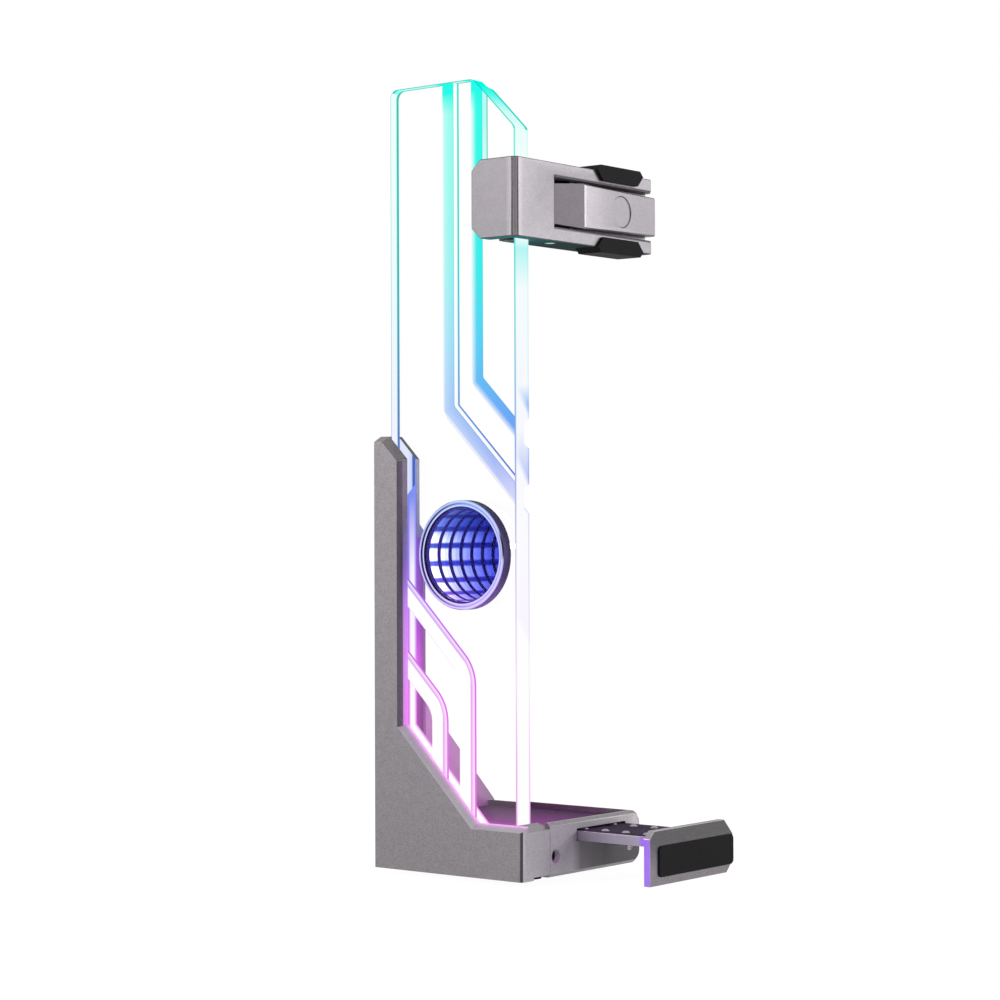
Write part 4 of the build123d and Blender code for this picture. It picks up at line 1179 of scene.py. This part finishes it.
# %% [markdown]
# The table is white and far wider than the picture. A ray straight from the camera, or by way of glass
# or a mirror, sees it nearly as pure white, and a small share of its true shade keeps the soft shadow.


# %% Table and backdrop
def seen_white(owner):
    """Number that is 1 for a ray from the camera, a mirror or glass, in a material or the world."""
    path = add(owner, "LightPath").outputs
    by_camera_or_mirror = maths(owner, "MAXIMUM", path["Is Camera Ray"], path["Is Glossy Ray"])
    return maths(owner, "MAXIMUM", by_camera_or_mirror, path["Is Transmission Ray"])


white_part, table_light = 0.85, 1.13
table_half = 6.0

table_white, output = new_material("table_white")
matt = add(table_white, "BsdfDiffuse", in_Color=(0.8, 0.8, 0.8, 1)).outputs[0]
bright = add(table_white, "Emission", in_Strength=table_light).outputs[0]
share = maths(table_white, "MULTIPLY", seen_white(table_white), white_part)
join(table_white, mix_shaders(table_white, share, matt, bright), output.inputs[0])
work = bmesh.new()
bmesh.ops.create_grid(work, x_segments=2, y_segments=2, size=table_half)
table = object_from(work, "table", [table_white])

world = bpy.data.worlds.new("studio")
bpy.context.scene.world = world
world.use_nodes = True
world.node_tree.nodes.clear()
dim = add(world, "Background", in_Color=(0.95, 0.95, 1.0, 1), in_Strength=0.45).outputs[0]
plain = add(world, "Background", in_Color=(1, 1, 1, 1), in_Strength=1.0).outputs[0]
sky = world.node_tree.nodes.new("ShaderNodeOutputWorld")
join(world, mix_shaders(world, seen_white(world), dim, plain), sky.inputs[0])
print("table", [round(v, 1) for v in table.dimensions])

# %% [markdown]
# Two large soft lamps light the bracket, one from the left and one from the right, and a black card
# stands on the camera's side, so that metal which faces the camera turns dark between the two. The
# card is hidden from the camera itself and from rays through glass, so it is in no picture.


# %% Studio lamps and the card
def area_lamp(name, where, way, power):
    """Area lamp at a place, turned to shine along a way; returns its object."""
    lamp = bpy.data.lights.new(name, "AREA")
    lamp.energy = power
    held = bpy.data.objects.new(name, lamp)
    held.location = where
    held.rotation_euler = way.to_track_quat("-Z", "Y").to_euler()
    bpy.context.scene.collection.objects.link(held)
    return held


bracket_middle = Vector((0, 0, 0.1))
lamp_side = 0.5
for name, where, power in (
    ("left_light", Vector((-0.9, 0.35, 0.55)), 6),
    ("right_light", Vector((0.75, -0.85, 0.5)), 7),
):
    area_lamp(name, where, bracket_middle - where, power).data.size = lamp_side

card_black, output = new_material("card_black")
matt = add(card_black, "BsdfDiffuse", in_Color=(0.01, 0.01, 0.01, 1))
join(card_black, matt.outputs[0], output.inputs[0])
toward = Vector((-0.76, -0.65, 0)).normalized()
card_distance, card_height, card_half = 0.95, 0.16, 0.5
middle = toward * card_distance + Vector((0, 0, card_height))
facing = toward.to_track_quat("Z", "Y").to_matrix().to_4x4()
standing = Matrix.Translation(middle) @ facing
work = bmesh.new()
bmesh.ops.create_grid(work, x_segments=1, y_segments=1, size=card_half, matrix=standing)
card = object_from(work, "card", [card_black])
card.visible_camera = False
card.visible_transmission = False
print("card", [round(v, 2) for v in card.dimensions])

# %% [markdown]
# The lamps in the base also spill onto the metal around them, magenta on the tray's deck and violet on
# the near side of the foot, and a little light reaches the two holes in the front wall from inside.
# Small lamps that the camera doesn't see do that.


# %% Spilled light
def spill(name, where, aim, length, breadth, power, colour):
    """Thin coloured lamp, in millimetres from the sheet's near edge and front face, and in watts."""
    where, aim = Vector(where), Vector(aim)
    corner = Vector((sheet_front, plate_low.y, 0))
    held = area_lamp(name, corner + where / 1000, (aim - where).normalized(), power)
    held.data.shape = "RECTANGLE"
    held.data.size = length / 1000
    held.data.size_y = breadth / 1000
    held.data.color = colour
    held.visible_camera = False
    held.visible_transmission = False
    held.visible_glossy = False


magenta, violet, hole_light = (0.75, 0.12, 0.85), (0.30, 0.12, 0.95), (1.0, 0.95, 1.0)
spill("deck_spill", (8, 16, 26), (22, 16, 12), 26, 6, 0.004, magenta)
spill("foot_spill", (6, -10, 14), (20, -24, 7), 4, 8, 0.0008, violet)
spill("hook_spill", (13, -29, 7), (19.8, -25.5, 6.5), 3, 10, 0.0008, violet)
for name, hole, power in (("left_hole", 10.9, 0.004), ("right_hole", 42.5, 0.0006)):
    spill(name, (hole - 3.0, 1.5, 8.5), (hole + 1.6, -3.2, 6.4), 2, 2, power, hole_light)
print("lamps", len(bpy.data.lights))

# %% [markdown]
# A ray that is thrown to and fro between the ring's mirrors needs many turns before it ends, and each
# pass through clear glass counts too, so the limits are raised a little. A cap on bounced light keeps
# the odd stray bright ray from leaving a white speck.

# %% Ray limits
cycles = bpy.context.scene.cycles
cycles.max_bounces = 32
cycles.glossy_bounces = 24
cycles.transmission_bounces = 16
cycles.transparent_max_bounces = 32
cycles.sample_clamp_indirect = 4.0
bpy.context.scene.view_settings.view_transform = "Standard"
print("bounces", cycles.max_bounces)
